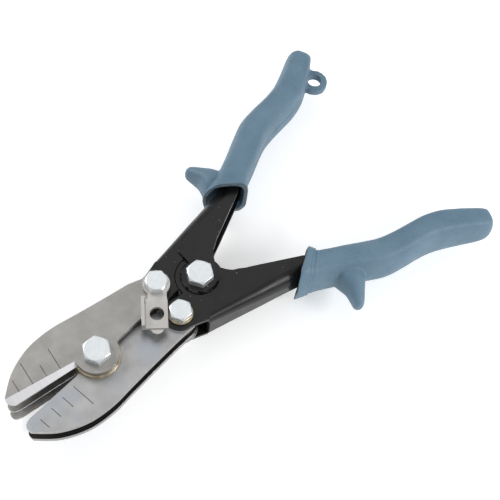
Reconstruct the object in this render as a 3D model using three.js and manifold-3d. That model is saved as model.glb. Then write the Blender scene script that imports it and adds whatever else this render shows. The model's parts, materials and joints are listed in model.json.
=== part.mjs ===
// Five-blade sheet-metal crimper with compound-action handles. Millimetres, +Z up.
//
// The tool lies flat and open. +Y runs along its axis from the jaw bolt to the handles, and the
// origin is the flat end of the jaw bolt, on which the tool rests. Everything that stacks along Z
// is written about the mid-plane of the blade stack and lifted by REST_HEIGHT at the end.
//
// "Upper" is the three-blade jaw and its handle, on the -X side; "lower" is the two-blade jaw and
// its handle, on the +X side. A side's outlines are drawn on +X; the upper side is mirrored in X.

import * as THREE from 'three';
import { mergeVertices } from 'three/addons/utils/BufferGeometryUtils.js';
import Module from 'manifold-3d';

const wasm = await Module();
wasm.setup();

// ---------------------------------------------------------------- driving dimensions

// Blade stack
const BLADE = 2.6; // thickness of one blade
const PITCH = 4.65; // from one blade to the next one of the other jaw
const BEVEL_DEPTH = 2; // depth of the bevel along a crimping edge
const BOSS_RADIUS = 9.5; // eye of a blade round the jaw bolt
const LOWER_TAIL_RADIUS = 7.5; // eye of a blade round its link bolt
const UPPER_TAIL_RADIUS = 5.6;
const MARK_SPACING = 6.35; // depth graduations, a quarter inch apart
const MARK_WIDTH = 0.35;
const MARK_DEPTH = 0.15;

// Linkage, open: jaw bolt at the origin, link bolts at (-/+LINK_X, LINK_Y), handle bolt on the axis
const LINK_X = 8.1;
const LINK_Y = 39.1;
const HANDLE_PIVOT_Y = 57.2;

// Handle channels
const SHEET = 1.6; // sheet thickness
const CHANNEL_TOP = 7.9; // half of a channel's outer height
const FRONT_BEND_RADIUS = 3; // outside radius where web meets flange, growing towards the grip
const REAR_BEND_RADIUS = 7;
const LINK_EYE_RADIUS = 7.6; // channel end round a link bolt
const TONGUE_RAISE = 1.1; // how far the outer tongue stands out at the handle bolt
const LOBE_DROP = 0.6; // how far the inner lobe is dished in below it
const NOSE_RADIUS = 7.8; // tongue's nose round the handle bolt
const JOGGLE_RADIUS = 15.1; // where the tongue steps out of its flange
const LOBE_RADIUS = 10.7;
const DISH_FLOOR_RADIUS = 7.95;
const DISH_RIM_RADIUS = 9.1;
const LOBE_CLEARANCE_RADIUS = 11.1; // flange cut back round the other handle's lobe

// Fasteners
const QUARTER_BOLT = { shank: 3.175, acrossFlats: 11, head: 3.95, nut: 4 };
const LINK_BOLT = { shank: 2.4, acrossFlats: 9.3, head: 3.3, nut: 3.3 };
const HEX_FACE_INSET = 0.2; // of a head's round flat inside its six sides
const HEX_CHAMFER_SLOPE = 0.5;
const THREAD_END = 0.8; // bolt end beyond its nut
const JAW_BOLT_TURN = 0.7; // degrees that each head is turned
const HANDLE_BOLT_TURN = 2.1;
const UPPER_LINK_TURN = 23.3;
const LOWER_LINK_TURN = 0.6;
const RUNNING_FIT = 0.06; // radial clearance of a hole round its bolt
const OPEN_PIVOT_FIT = 0.55; // radial clearance of the lower handle round the handle bolt
const FACE_GAP = 0.05; // between faces that lie on each other
const JAW_WASHER_RADIUS = 10.1;
const LINK_SPACER_RADIUS = 6.2;
const LINK_SHIM_RADIUS = 8.2;
const LINK_WASHER_RADIUS = 5.6;
const LINK_WASHER = 1;

// Latch, along its own length from the upper link bolt
const LATCH = 1.6; // plate thickness
const LATCH_ANGLE = THREE.MathUtils.degToRad(-38.8);
const LATCH_EYE_RADIUS = 6;
const LATCH_END = 21.2;
const LATCH_HOLE_AT = 14.4;
const LATCH_HOLE_RADIUS = 3.1;
const LATCH_NOSE_RADIUS = 2.9;
const LATCH_NOSE_INSET = 0.7;
const LATCH_EYE_ARC = [47, 321]; // degrees of the eye left free of the plate
const LATCH_TAB_HEIGHT = 5;
const LATCH_CREASE = { low: -5.2, high: -4.8, start: 8.4, floor: 0.7 }; // groove at the tab's foot

// Return spring
const SPRING_WIRE_RADIUS = 0.9;
const SPRING_COIL_RADIUS = 6.2;
const SPRING_TURNS = 4;
const SPRING_PITCH = 2.1;
const SPRING_START = -Math.PI / 5; // where the first leg leaves the coil
const SPRING_LEG_SHARE = 0.12; // of the wire's run
const SPRING_LEG_END = new THREE.Vector2(19.6, 71);
const SLEEVE_RADIUS = 4.9;

// Grips
const GRIP_HALF_HEIGHT = 11.2;
const INNER_SQUARENESS = 4.2; // exponents of the super-ellipse section's two sides
const OUTER_SQUARENESS = 2.3;
const MOUTH_FLARE = 2; // how far the lip of the mouth stands out
const COLLAR_FLARE = 0.9; // and the end of its collar
const POCKET_GAP = 0.35; // between a channel and the pocket of its grip
const POCKET_CORNER = 3.6; // cut off the pocket where the channel is bent
const TANG_INNER = 0.22; // a channel's place across its grip, as fractions of the grip's width
const TANG_OUTER = 0.8;
const LOOP = { x: 48.4, y: 176.8, hole: 3.6, ring: 6.5, halfHeight: 2 };

// Facets
const ROUND = 28; // sides of a pin, hole or washer in plain sight
const HIDDEN_ROUND = 20; // sides of a ring inside the tool
const ARC_STEP = 12; // degrees per facet of an outline's arcs
const BEND_STEP = 30; // degrees per facet of a channel's bend
const BLADE_BACK_POINTS = 20;
const GRIP_SIDES = 20;
const HORN_SIDES = 12;
const SPRING_SIDES = 6;
const SPRING_STEPS = 68;

// Levels measured from the mid-plane
const TOP_BLADE = 2 * PITCH;
const STACK_TOP = TOP_BLADE + BLADE / 2;
const FLANGE_INSIDE = CHANNEL_TOP - SHEET;
const TONGUE_TOP = CHANNEL_TOP + TONGUE_RAISE;
const LOBE_TOP = CHANNEL_TOP - LOBE_DROP;
const LOBE_INSIDE = LOBE_TOP - SHEET;
const REST_HEIGHT = STACK_TOP + FACE_GAP + QUARTER_BOLT.nut + THREAD_END;

// Colours and finishes
const SATIN_STEEL = { color: 0xa8a59f, roughness: 0.4, metalness: 0.9 };
const BLUED_STEEL = { color: 0x9aa0a6, roughness: 0.38, metalness: 0.9 };
const BRIGHT_ZINC = { color: 0xe4eaec, roughness: 0.35, metalness: 0.6 };
const YELLOW_ZINC = { color: 0xc7a878, roughness: 0.4, metalness: 0.7 };
const BLACK_OXIDE = { color: 0x2b2b2c, roughness: 0.4, metalness: 0.6 };
const SPRING_STEEL = { color: 0x55565a, roughness: 0.4, metalness: 0.8 };
const LATCH_STEEL = { color: 0xc8c5be, roughness: 0.4, metalness: 0.8 };
const GRIP_VINYL = { color: 0x70899b, roughness: 0.6, metalness: 0 };

// ---------------------------------------------------------------- outlines, drawn on +X

// Outer side of a blade from its tip back to its link-bolt eye.
const BLADE_BACK = [
  [8.2, -40.8], [12.1, -36.5], [15.4, -32.1], [18.4, -25.8], [20.3, -19.2], [20.9, -12.5],
  [20.7, -5.5], [19.7, 1.5], [18.6, 10], [17.4, 20], [16.3, 30],
];
const BLADE_TIP = [[3.5, -37.4], [4.2, -39.6], [5.9, -41.1]];
const BLADE_NECK = [[0.4, 30], [0.1, 22], [-1.1, 11]];
const BOSS_ARC = [99.7, 276]; // degrees of the jaw-bolt eye left free of the body
const BEVEL_LOW = { front: new THREE.Vector2(3.5, -37.6), back: new THREE.Vector2(1, -9.6) };
const BEVEL_HIGH = { front: new THREE.Vector2(7.1, -41), back: new THREE.Vector2(2.8, -9.6) };
const FIRST_MARK = new THREE.Vector2(6.6, -34.7);
const UPPER_MARK_LENGTHS = [6, 11, 6, 10.4];
const LOWER_MARK_LENGTHS = [5.2, 5.4, 6.2, 11.4];

// Latch, along its own length: plate beyond the eye, and thumb tab.
const LATCH_OUTLINE = [[7.2, -3.8], [7.6, -5], [LATCH_END, -5], [LATCH_END, 4.7], [8.6, 4.7], [6.6, 4.4]];
const LATCH_TAB = [[7.4, -6.6], [LATCH_END, -6.6], [LATCH_END, -4.9], [7.4, -4.9]];

// A channel: pairs of points on its web and on its flanges' free edge.
const CHANNEL_FREE = [
  [[18.9, 47], [13.5, 47]],
  [[20, 52], [12.5, 53]],
  [[21.4, 58.2], [11.5, 60]],
  [[23, 65.2], [7.4, 70.5]],
  [[24.6, 72.2], [9.75, 76]],
  [[25.6, 76.6], [11.6, 79.9]],
  [[27, 83], [14.8, 86.2]],
  [[28.4, 88.7], [18.2, 92.9]],
  [[29.6, 93.5], [21.8, 100]],
];

// A grip: pairs of points on its inner and outer side, and its half height there.
const GRIP_MOUTH = [[20.8, 102.8], [30.6, 88.4]];
const COLLAR_END = [[23.3, 106.5], [33.8, 93.8]];
const MOUTH_HOLLOW = [[-0.4, 0.6], [0, 0.4], [0.8, -1.4], [1.5, -3]]; // [place between the two above, growth]
const GRIP_BODY = [
  [[24, 107.6], [34.6, 95.4], 11.2],
  [[26.6, 112.3], [37.4, 101.4], 11.2],
  [[30, 119], [42, 110.4], 11.2],
  [[33.8, 126], [47.2, 119.6], 11.2],
  [[37.2, 133.1], [51.6, 128.2], 11.2],
  [[39.3, 140.9], [53.6, 137.4], 11.2],
  [[40.8, 149.4], [54.9, 146.6], 11.2],
  [[42.3, 157.8], [56.8, 154.4], 11.2],
  [[45.2, 166.1], [60, 161.6], 10.8],
  [[49.6, 173.3], [63.6, 168.6], 10.2],
  [[54.2, 179.8], [67, 175], 9.4],
  [[57.2, 183.8], [68.4, 178.9], 8.6],
  [[59, 185.9], [68, 181.7], 7.2],
];
const TANG_STATIONS = [1, 3, 5, 8]; // grip stations that the channel reaches
const UPPER_END_SHIFT = [-0.6, -2]; // how the upper grip's end differs
const LEAN_FROM = 8; // last station that is the same on both grips
const LEAN_STATIONS = 3; // stations over which the ends come apart

// Flanges forward of the web, from the link-bolt eye past the handle bolt.
const FLANGE_SHOULDER = [16.9, 43];
const FLANGE_FRONT = [[1.4, 45], [1.1, 46.6]];
const FLANGE_REAR = [[11.2, 78.2], [14, 78], [17.5, 70], [17, 60], [15.8, 50], [18.3, 47.1]];
const LOBE_SIDE = [[0.3, 48], [3, 57], [6.6, 64.9], [6.4, 68.5], [7.2, 71.6], [8.9, 74.4]];
const TONGUE_SIDE = [[0.6, 47.4], [3, 57], [14.9, 57.6], [14.9, 58.6], [9, 66], [6.6, 71.3], [8.4, 74.2]];
const LOBE_WEB = [[2.4, 67.8], [4.1, 68.8], [5.8, 70.2], [7.3, 71.9], [8.9, 74.4], [8.5, 66], [5, 63]];
const LOBE_OPEN_ARC = [38, 184]; // degrees where the dish has no rim, for the other tongue
const JOGGLE_ARC = [5, 64];
const JOGGLE_LAP = 0.8; // overlap of the tongue on its flange beyond the joggle
const SLIT_EDGE = 0.8; // the tongue's forward edge beyond the handle bolt's axis
const TONGUE_INNER = [3.4, 68.5];
const NOSE_ARC = [125, 360];

// Finger guards: root and tip of the horn on the outer side of each grip.
const LOWER_HORN = { root: [43.2, 113.2], tip: [54.6, 105] };
const UPPER_HORN = { root: [36.4, 98], tip: [48.2, 92] };
const HORN_HALF_WIDTH = 5;
const HORN_HALF_HEIGHT = 8.5;
const HORN_SQUARENESS = 2.4;
// Along a horn: place, share of the half width towards the grip's end, and towards its mouth.
const HORN_TAPER = [
  [-0.25, 1, 2.3], [0.05, 1, 1.9], [0.25, 0.93, 1.4], [0.45, 0.8, 0.95], [0.8, 0.62, 0.62],
  [0.97, 0.48, 0.48], [1.06, 0.26, 0.26],
];
const LOOP_ROOT = [[48.4, 170.3], [53.4, 171.8], [55.4, 179.8], [51.4, 182.3]];

// ---------------------------------------------------------------- solids

function solid(geometry) {
  const bare = geometry.clone();
  bare.deleteAttribute('normal');
  bare.deleteAttribute('uv');
  const merged = mergeVertices(bare, 1e-5);
  const vertProperties = Float32Array.from(merged.attributes.position.array);
  const triVerts = Uint32Array.from(merged.index.array);
  return new wasm.Manifold(new wasm.Mesh({ numProp: 3, vertProperties, triVerts }));
}

function toGeometry(manifold) {
  const mesh = manifold.getMesh();
  const geometry = new THREE.BufferGeometry();
  geometry.setAttribute('position', new THREE.Float32BufferAttribute(mesh.vertProperties, 3));
  geometry.setIndex(Array.from(mesh.triVerts));
  const faceted = geometry.toNonIndexed();
  faceted.computeVertexNormals();
  return faceted;
}

function join(...manifolds) {
  return manifolds.reduce((whole, part) => whole.add(part));
}

function cut(manifold, ...cutters) {
  return cutters.reduce((whole, cutter) => whole.subtract(cutter), manifold);
}

function plate(shape, low, high) {
  const options = { depth: high - low, bevelEnabled: false };
  return solid(new THREE.ExtrudeGeometry(shape, options).translate(0, 0, low));
}

function disc(x, y, radius, low, high, sides = ROUND) {
  const geometry = new THREE.CylinderGeometry(radius, radius, high - low, sides);
  return solid(geometry.rotateX(Math.PI / 2).translate(x, y, (low + high) / 2));
}

// A round hole right through the stack.
function hole(x, y, radius, sides = HIDDEN_ROUND) {
  return disc(x, y, radius, -3 * STACK_TOP, 3 * STACK_TOP, sides);
}

function washer(outer, inner, thickness) {
  const half = thickness / 2;
  return cut(disc(0, 0, outer, -half, half, HIDDEN_ROUND), hole(0, 0, inner));
}

// Skins rings of equal length into one closed body with flat ends.
function loft(rings) {
  const count = rings[0].length;
  const positions = rings.flat().flatMap((p) => [p.x, p.y, p.z]);
  const index = [];
  for (let r = 0; r + 1 < rings.length; r += 1) {
    for (let i = 0; i < count; i += 1) {
      const a = r * count + i;
      const b = r * count + ((i + 1) % count);
      index.push(a, b, a + count, b, b + count, a + count);
    }
  }
  const last = (rings.length - 1) * count;
  for (const [a, b, c] of capTriangles(rings[0])) {
    index.push(a, c, b);
    index.push(last + a, last + b, last + c);
  }
  const geometry = new THREE.BufferGeometry();
  geometry.setAttribute('position', new THREE.Float32BufferAttribute(positions, 3));
  geometry.setIndex(index);
  if (signedVolume(geometry) < 0) {
    const flipped = [];
    for (let i = 0; i < index.length; i += 3) {
      flipped.push(index[i], index[i + 2], index[i + 1]);
    }
    geometry.setIndex(flipped);
  }
  return solid(geometry);
}

// Triangles across a flat upright ring, turning the same way as the ring.
function capTriangles(ring) {
  const farther = (a, b) => (a.distanceTo(ring[0]) > b.distanceTo(ring[0]) ? a : b);
  const along = ring.reduce(farther).clone().sub(ring[0]).setZ(0).normalize();
  const flat = ring.map((p) => new THREE.Vector2(p.x * along.x + p.y * along.y, p.z));
  const faces = THREE.ShapeUtils.triangulateShape(flat, []);
  const turn = THREE.ShapeUtils.isClockWise(flat) ? -1 : 1;
  return faces.map(([a, b, c]) => (turn * faceTurn(flat, a, b, c) > 0 ? [a, b, c] : [a, c, b]));
}

function faceTurn(points, a, b, c) {
  const ab = points[b].clone().sub(points[a]);
  const ac = points[c].clone().sub(points[a]);
  return ab.cross(ac);
}

function signedVolume(geometry) {
  const position = geometry.attributes.position;
  const [a, b, c] = [new THREE.Vector3(), new THREE.Vector3(), new THREE.Vector3()];
  let volume = 0;
  for (let i = 0; i < geometry.index.count; i += 3) {
    a.fromBufferAttribute(position, geometry.index.getX(i));
    b.fromBufferAttribute(position, geometry.index.getX(i + 1));
    c.fromBufferAttribute(position, geometry.index.getX(i + 2));
    volume += a.dot(b.cross(c));
  }
  return volume;
}

function mesh(name, manifold, finish) {
  const made = new THREE.Mesh(toGeometry(manifold), new THREE.MeshStandardMaterial(finish));
  made.name = name;
  return made;
}

function placed(made, x, y, z) {
  made.position.set(x, y, z);
  return made;
}

// Points of an arc, with its angles in degrees.
function arc(x, y, radius, [from, to], step = ARC_STEP) {
  const count = Math.ceil(Math.abs(to - from) / step);
  return Array.from({ length: count + 1 }, (_, i) => {
    const angle = THREE.MathUtils.degToRad(from + ((to - from) * i) / count);
    return [x + radius * Math.cos(angle), y + radius * Math.sin(angle)];
  });
}

function polygon(points) {
  return new THREE.Shape(points.map(([x, y]) => new THREE.Vector2(x, y)));
}

// ---------------------------------------------------------------- blades

// side is +1 for a lower-jaw blade and -1 for an upper-jaw blade, and face is +1 for a blade
// bevelled on its top and -1 for one bevelled underneath. Graduations are always on top.
function blade(name, side, face, markLengths = []) {
  const body = cut(
    plate(bladeShape(side > 0 ? LOWER_TAIL_RADIUS : UPPER_TAIL_RADIUS), -BLADE / 2, BLADE / 2),
    hole(0, 0, QUARTER_BOLT.shank + RUNNING_FIT),
    hole(LINK_X, LINK_Y, LINK_BOLT.shank + RUNNING_FIT),
    bevelCutter(),
  );
  const turned = face > 0 ? body : body.mirror([0, 0, 1]);
  const marked = cut(turned, ...markCutters(markLengths));
  const made = side > 0 ? marked : marked.mirror([1, 0, 0]);
  return mesh(name, made, side > 0 ? BLUED_STEEL : SATIN_STEEL);
}

function bladeShape(tailRadius) {
  const back = new THREE.SplineCurve(BLADE_BACK.map((p) => new THREE.Vector2(...p)));
  return polygon([
    ...BLADE_TIP,
    ...back.getPoints(BLADE_BACK_POINTS).map((p) => p.toArray()),
    ...arc(LINK_X, LINK_Y, tailRadius, [0, 180]),
    ...BLADE_NECK,
    ...arc(0, 0, BOSS_RADIUS, BOSS_ARC),
  ]);
}

// Wedge above a slope that falls from the bevel's high line to its low line.
function bevelCutter() {
  const top = BLADE / 2;
  const above = 1;
  const floor = top - BEVEL_DEPTH;
  const pointAt = (line, y) => {
    const t = (y - line.back.y) / (line.front.y - line.back.y);
    return line.back.clone().lerp(line.front, t);
  };
  const ringAt = (y) => {
    const low = pointAt(BEVEL_LOW, y);
    const high = pointAt(BEVEL_HIGH, y);
    const run = ((high.x - low.x) * above) / BEVEL_DEPTH;
    const section = [
      [low.x, floor],
      [high.x + run, top + above],
      [-BOSS_RADIUS, top + above],
      [-BOSS_RADIUS, floor],
    ];
    return section.map(([x, z]) => new THREE.Vector3(x, y, z));
  };
  return loft([ringAt(BEVEL_LOW.back.y), ringAt(2 * BEVEL_LOW.front.y)]);
}

function markCutters(lengths) {
  const along = BEVEL_HIGH.back.clone().sub(BEVEL_HIGH.front).normalize();
  const slope = Math.atan2(-along.x, along.y);
  return lengths.map((length, i) => {
    const start = FIRST_MARK.clone().addScaledVector(along, i * MARK_SPACING);
    const box = new THREE.BoxGeometry(length, MARK_WIDTH, BLADE);
    box.translate(length / 2, 0, BLADE - MARK_DEPTH);
    return solid(box.rotateZ(slope).translate(start.x, start.y, 0));
  });
}

// ---------------------------------------------------------------- handles

// C-section between a web point and a flange-edge point, open on the flange-edge side.
function channelRing([web, edge], bendRadius) {
  const start = new THREE.Vector2(...web);
  const across = new THREE.Vector2(...edge).sub(start);
  const width = across.length();
  across.normalize();
  const upper = (radius, height) => {
    const corner = arc(bendRadius, CHANNEL_TOP - bendRadius, radius, [90, 180], BEND_STEP);
    return [[width, height], ...corner];
  };
  const lower = (points) => points.map(([u, z]) => [u, -z]).reverse();
  const outside = upper(bendRadius, CHANNEL_TOP);
  const inside = upper(bendRadius - SHEET, FLANGE_INSIDE);
  const outline = [...outside, ...lower(outside), ...inside.map(([u, z]) => [u, -z]), ...inside.toReversed()];
  return outline.map(([u, z]) => new THREE.Vector3(start.x + across.x * u, start.y + across.y * u, z));
}

function tangStations() {
  return TANG_STATIONS.map((i) => {
    const [inner, outer] = GRIP_BODY[i];
    const at = (t) => inner.map((value, axis) => value + t * (outer[axis] - value));
    return [at(TANG_OUTER), at(TANG_INNER)];
  });
}

// The bend opens out evenly over the free part of the channel and keeps its width in the grip.
function channelRings() {
  const free = CHANNEL_FREE.map((station, i) => {
    const t = i / (CHANNEL_FREE.length - 1);
    return channelRing(station, THREE.MathUtils.lerp(FRONT_BEND_RADIUS, REAR_BEND_RADIUS, t));
  });
  const tang = tangStations().map((station) => channelRing(station, REAR_BEND_RADIUS));
  return [...free, ...tang];
}

function flangeShape(besidePivot) {
  return polygon([
    FLANGE_SHOULDER,
    ...arc(LINK_X, LINK_Y, LINK_EYE_RADIUS, [0, -180]),
    ...FLANGE_FRONT,
    ...besidePivot,
    ...FLANGE_REAR,
  ]);
}

function pivotSector(radius, angles) {
  return polygon([[0, HANDLE_PIVOT_Y], ...arc(0, HANDLE_PIVOT_Y, radius, angles)]);
}

// Flange that dishes in under the other handle's tongue.
function lobeFlange() {
  const profile = [
    [0, LOBE_INSIDE], [DISH_FLOOR_RADIUS, LOBE_INSIDE], [DISH_RIM_RADIUS, FLANGE_INSIDE],
    [LOBE_RADIUS, FLANGE_INSIDE], [LOBE_RADIUS, CHANNEL_TOP], [DISH_RIM_RADIUS, CHANNEL_TOP],
    [DISH_FLOOR_RADIUS, LOBE_TOP], [0, LOBE_TOP],
  ];
  const points = profile.map(([r, z]) => new THREE.Vector2(r, z));
  const lathe = new THREE.LatheGeometry(points, ROUND);
  const dish = solid(lathe.rotateX(Math.PI / 2).translate(0, HANDLE_PIVOT_Y, 0));
  const openSide = plate(pivotSector(2 * LOBE_RADIUS, LOBE_OPEN_ARC), LOBE_TOP, 2 * CHANNEL_TOP);
  const well = disc(0, HANDLE_PIVOT_Y, (DISH_RIM_RADIUS + LOBE_RADIUS) / 2, -STACK_TOP, STACK_TOP);
  const flat = cut(plate(flangeShape(LOBE_SIDE), FLANGE_INSIDE, CHANNEL_TOP), well);
  const web = plate(polygon(LOBE_WEB), (LOBE_INSIDE + FLANGE_INSIDE) / 2, LOBE_TOP);
  return join(flat, cut(dish, openSide), web);
}

// Flange whose tongue steps out over the other handle's lobe. Drawn as a top flange.
function tongueFlange() {
  const flat = cut(
    plate(flangeShape(TONGUE_SIDE), FLANGE_INSIDE, CHANNEL_TOP),
    disc(0, HANDLE_PIVOT_Y, LOBE_CLEARANCE_RADIUS, -STACK_TOP, STACK_TOP),
    plate(pivotSector(JOGGLE_RADIUS, [2, 90]), -STACK_TOP, STACK_TOP),
  );
  const tongue = polygon([
    [NOSE_RADIUS, HANDLE_PIVOT_Y + SLIT_EDGE],
    [JOGGLE_RADIUS, HANDLE_PIVOT_Y + SLIT_EDGE],
    ...arc(0, HANDLE_PIVOT_Y, JOGGLE_RADIUS + JOGGLE_LAP, JOGGLE_ARC),
    TONGUE_INNER,
    ...arc(0, HANDLE_PIVOT_Y, NOSE_RADIUS, NOSE_ARC),
  ]);
  return join(flat, plate(tongue, TONGUE_TOP - SHEET, TONGUE_TOP));
}

// The lower handle's channel: lobe on top, tongue below. The upper one is the same part turned over.
function channel(name, pivotFit) {
  const body = join(
    loft(channelRings()),
    lobeFlange(),
    tongueFlange().mirror([0, 0, 1]),
  );
  const drilled = cut(
    body,
    hole(LINK_X, LINK_Y, LINK_BOLT.shank + RUNNING_FIT),
    hole(0, HANDLE_PIVOT_Y, QUARTER_BOLT.shank + pivotFit),
  );
  return mesh(name, drilled, BLACK_OXIDE);
}

// ---------------------------------------------------------------- grips

// Super-ellipse between two points in plan, standing halfHeight above and below the mid-plane.
function sectionRing(inner, outer, halfHeight, sides, innerSquareness, outerSquareness) {
  const across = outer.clone().sub(inner).multiplyScalar(0.5);
  const centre = inner.clone().add(across);
  const power = (value, squareness) => Math.sign(value) * Math.abs(value) ** (2 / squareness);
  return Array.from({ length: sides }, (_, i) => {
    const angle = ((i + 0.5) * 2 * Math.PI) / sides;
    const share = (1 + Math.cos(angle)) / 2;
    const squareness = innerSquareness + (outerSquareness - innerSquareness) * share;
    const place = centre.clone().addScaledVector(across, power(Math.cos(angle), squareness));
    return new THREE.Vector3(place.x, place.y, halfHeight * power(Math.sin(angle), squareness));
  });
}

function gripRing([inner, outer, halfHeight = GRIP_HALF_HEIGHT], flare = 0) {
  const a = new THREE.Vector2(...inner);
  const b = new THREE.Vector2(...outer);
  const grow = b.clone().sub(a).normalize().multiplyScalar(flare);
  const [low, high] = [a.sub(grow), b.add(grow)];
  return sectionRing(low, high, halfHeight + flare, GRIP_SIDES, INNER_SQUARENESS, OUTER_SQUARENESS);
}

function pocketRing([web, edge]) {
  const start = new THREE.Vector2(...web);
  const end = new THREE.Vector2(...edge);
  const across = end.clone().sub(start).normalize().multiplyScalar(POCKET_GAP);
  const height = CHANNEL_TOP + POCKET_GAP;
  start.sub(across);
  end.add(across);
  const corner = across.clone().setLength(POCKET_CORNER).add(start);
  const upper = [[start, height - POCKET_CORNER], [corner, height], [end, height]];
  const lower = upper.map(([p, z]) => [p, -z]).reverse();
  return [...upper, ...lower].map(([p, z]) => new THREE.Vector3(p.x, p.y, z));
}

function pocket() {
  const stations = [...CHANNEL_FREE.slice(-3), ...tangStations()];
  const beyond = ([x, y]) => [x + POCKET_GAP, y + 2 * POCKET_GAP];
  stations.push(stations.at(-1).map(beyond));
  return loft(stations.map(pocketRing));
}

// Cone inside the mouth that leaves the lip thin.
function mouthHollow() {
  return loft(MOUTH_HOLLOW.map(([t, grow]) => {
    const at = (from, to) => from.map((value, axis) => value + t * (to[axis] - value));
    const station = [at(GRIP_MOUTH[0], COLLAR_END[0]), at(GRIP_MOUTH[1], COLLAR_END[1])];
    return gripRing(station, grow);
  }));
}

function horn({ root, tip }) {
  const from = new THREE.Vector2(...root);
  const along = new THREE.Vector2(...tip).sub(from);
  const side = new THREE.Vector2(-along.y, along.x).setLength(HORN_HALF_WIDTH);
  const rings = HORN_TAPER.map(([t, back, front]) => {
    const centre = from.clone().addScaledVector(along, t);
    const a = centre.clone().addScaledVector(side, -front);
    const b = centre.clone().addScaledVector(side, back);
    return sectionRing(a, b, HORN_HALF_HEIGHT * back, HORN_SIDES, HORN_SQUARENESS, HORN_SQUARENESS);
  });
  return loft(rings);
}

// Grip sections, the last few leaning over by endShift.
function gripStations([x, y]) {
  return GRIP_BODY.map(([inner, outer, halfHeight], i) => {
    const lean = THREE.MathUtils.clamp((i - LEAN_FROM) / LEAN_STATIONS, 0, 1);
    const shifted = (point) => [point[0] + lean * x, point[1] + lean * y];
    return [shifted(inner), shifted(outer), halfHeight];
  });
}

function gripBody(guard, endShift) {
  const collar = [gripRing(GRIP_MOUTH, MOUTH_FLARE), gripRing(COLLAR_END, COLLAR_FLARE)];
  const shaft = gripStations(endShift).map((station) => gripRing(station));
  return join(loft([...collar, ...shaft]), horn(guard));
}

function hangingLoop() {
  const { x, y, ring, halfHeight } = LOOP;
  const round = disc(x, y, ring, -halfHeight, halfHeight);
  return join(round, plate(polygon(LOOP_ROOT), -halfHeight, halfHeight));
}

function lowerGrip() {
  return mesh('lower_grip', cut(gripBody(LOWER_HORN, [0, 0]), mouthHollow(), pocket()), GRIP_VINYL);
}

function upperGrip() {
  const body = join(gripBody(UPPER_HORN, UPPER_END_SHIFT), hangingLoop());
  const hollow = cut(body, mouthHollow(), pocket(), hole(LOOP.x, LOOP.y, LOOP.hole, ROUND));
  return mesh('upper_grip', hollow, GRIP_VINYL);
}

// ---------------------------------------------------------------- fasteners

// Hexagonal prism with its corners turned away at the top and, for a nut, at the bottom too.
function hexPrism(acrossFlats, low, high, bothEnds) {
  const corner = acrossFlats / Math.sqrt(3);
  const prism = new THREE.CylinderGeometry(corner, corner, high - low, 6);
  const hex = solid(prism.rotateX(Math.PI / 2).translate(0, 0, (low + high) / 2));
  const face = acrossFlats / 2 - HEX_FACE_INSET;
  const fall = (corner - face) * HEX_CHAMFER_SLOPE;
  const wide = corner + fall;
  const profile = [
    [0, low], [bothEnds ? face : wide, low], [wide, low + 2 * fall],
    [wide, high - 2 * fall], [face, high], [0, high],
  ];
  const points = profile.map(([r, z]) => new THREE.Vector2(r, z));
  return hex.intersect(solid(new THREE.LatheGeometry(points, ROUND).rotateX(Math.PI / 2)));
}

// Bolt with its head's underside at headUnder and its plain end at end.
function bolt(name, size, headUnder, end, turn) {
  const head = hexPrism(size.acrossFlats, headUnder, headUnder + size.head, false);
  const shank = disc(0, 0, size.shank, end, headUnder + size.head / 2);
  return mesh(name, join(head, shank).rotate([0, 0, turn]), BRIGHT_ZINC);
}

function nut(name, size, top) {
  const body = hexPrism(size.acrossFlats, top - size.nut, top, true);
  return mesh(name, cut(body, hole(0, 0, size.shank + FACE_GAP, ROUND)), BRIGHT_ZINC);
}

function ring(name, outer, bore, height, finish = YELLOW_ZINC) {
  return mesh(name, washer(outer, bore, height), finish);
}

// ---------------------------------------------------------------- latch and spring

// Locking plate that turns on the upper link bolt, with a round eye, a finger hole, an upturned
// thumb tab along one side and a half-round nose beyond its end.
function latch() {
  const floor = STACK_TOP + FACE_GAP;
  const body = polygon([...arc(0, 0, LATCH_EYE_RADIUS, LATCH_EYE_ARC), ...LATCH_OUTLINE]);
  const { low, high, start } = LATCH_CREASE;
  const end = LATCH_END + LATCH;
  const crease = [[start, low], [end, low], [end, high], [start, high]];
  const drilled = cut(
    join(
      plate(body, floor, floor + LATCH),
      plate(polygon(LATCH_TAB), floor, floor + LATCH_TAB_HEIGHT),
      disc(LATCH_END - LATCH_NOSE_INSET, 0, LATCH_NOSE_RADIUS, floor, floor + LATCH / 2),
    ),
    hole(LATCH_HOLE_AT, 0, LATCH_HOLE_RADIUS, ROUND),
    hole(0, 0, LINK_BOLT.shank + RUNNING_FIT),
    plate(polygon(crease), floor + LATCH_CREASE.floor, floor + LATCH_TAB_HEIGHT + 1),
  );
  const made = mesh('latch_plate', drilled, LATCH_STEEL);
  made.rotation.z = LATCH_ANGLE;
  return placed(made, -LINK_X, LINK_Y, 0);
}

// Torsion spring round the sleeve, with a leg against the inside of each channel's web.
class SpringPath extends THREE.Curve {
  getPoint(t, target = new THREE.Vector3()) {
    const rise = SPRING_PITCH * SPRING_TURNS;
    const coil = THREE.MathUtils.clamp((t - SPRING_LEG_SHARE) / (1 - 2 * SPRING_LEG_SHARE), 0, 1);
    const angle = SPRING_START + coil * (2 * Math.PI * SPRING_TURNS + Math.PI - 2 * SPRING_START);
    const z = (coil - 0.5) * rise;
    target.set(SPRING_COIL_RADIUS * Math.cos(angle), SPRING_COIL_RADIUS * Math.sin(angle), z);
    target.y += HANDLE_PIVOT_Y;
    const onLeg = Math.max(1 - t / SPRING_LEG_SHARE, (t - 1) / SPRING_LEG_SHARE + 1, 0);
    const side = t < 0.5 ? 1 : -1;
    const end = new THREE.Vector3(side * SPRING_LEG_END.x, SPRING_LEG_END.y, z);
    return target.lerp(end, onLeg);
  }
}

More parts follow.
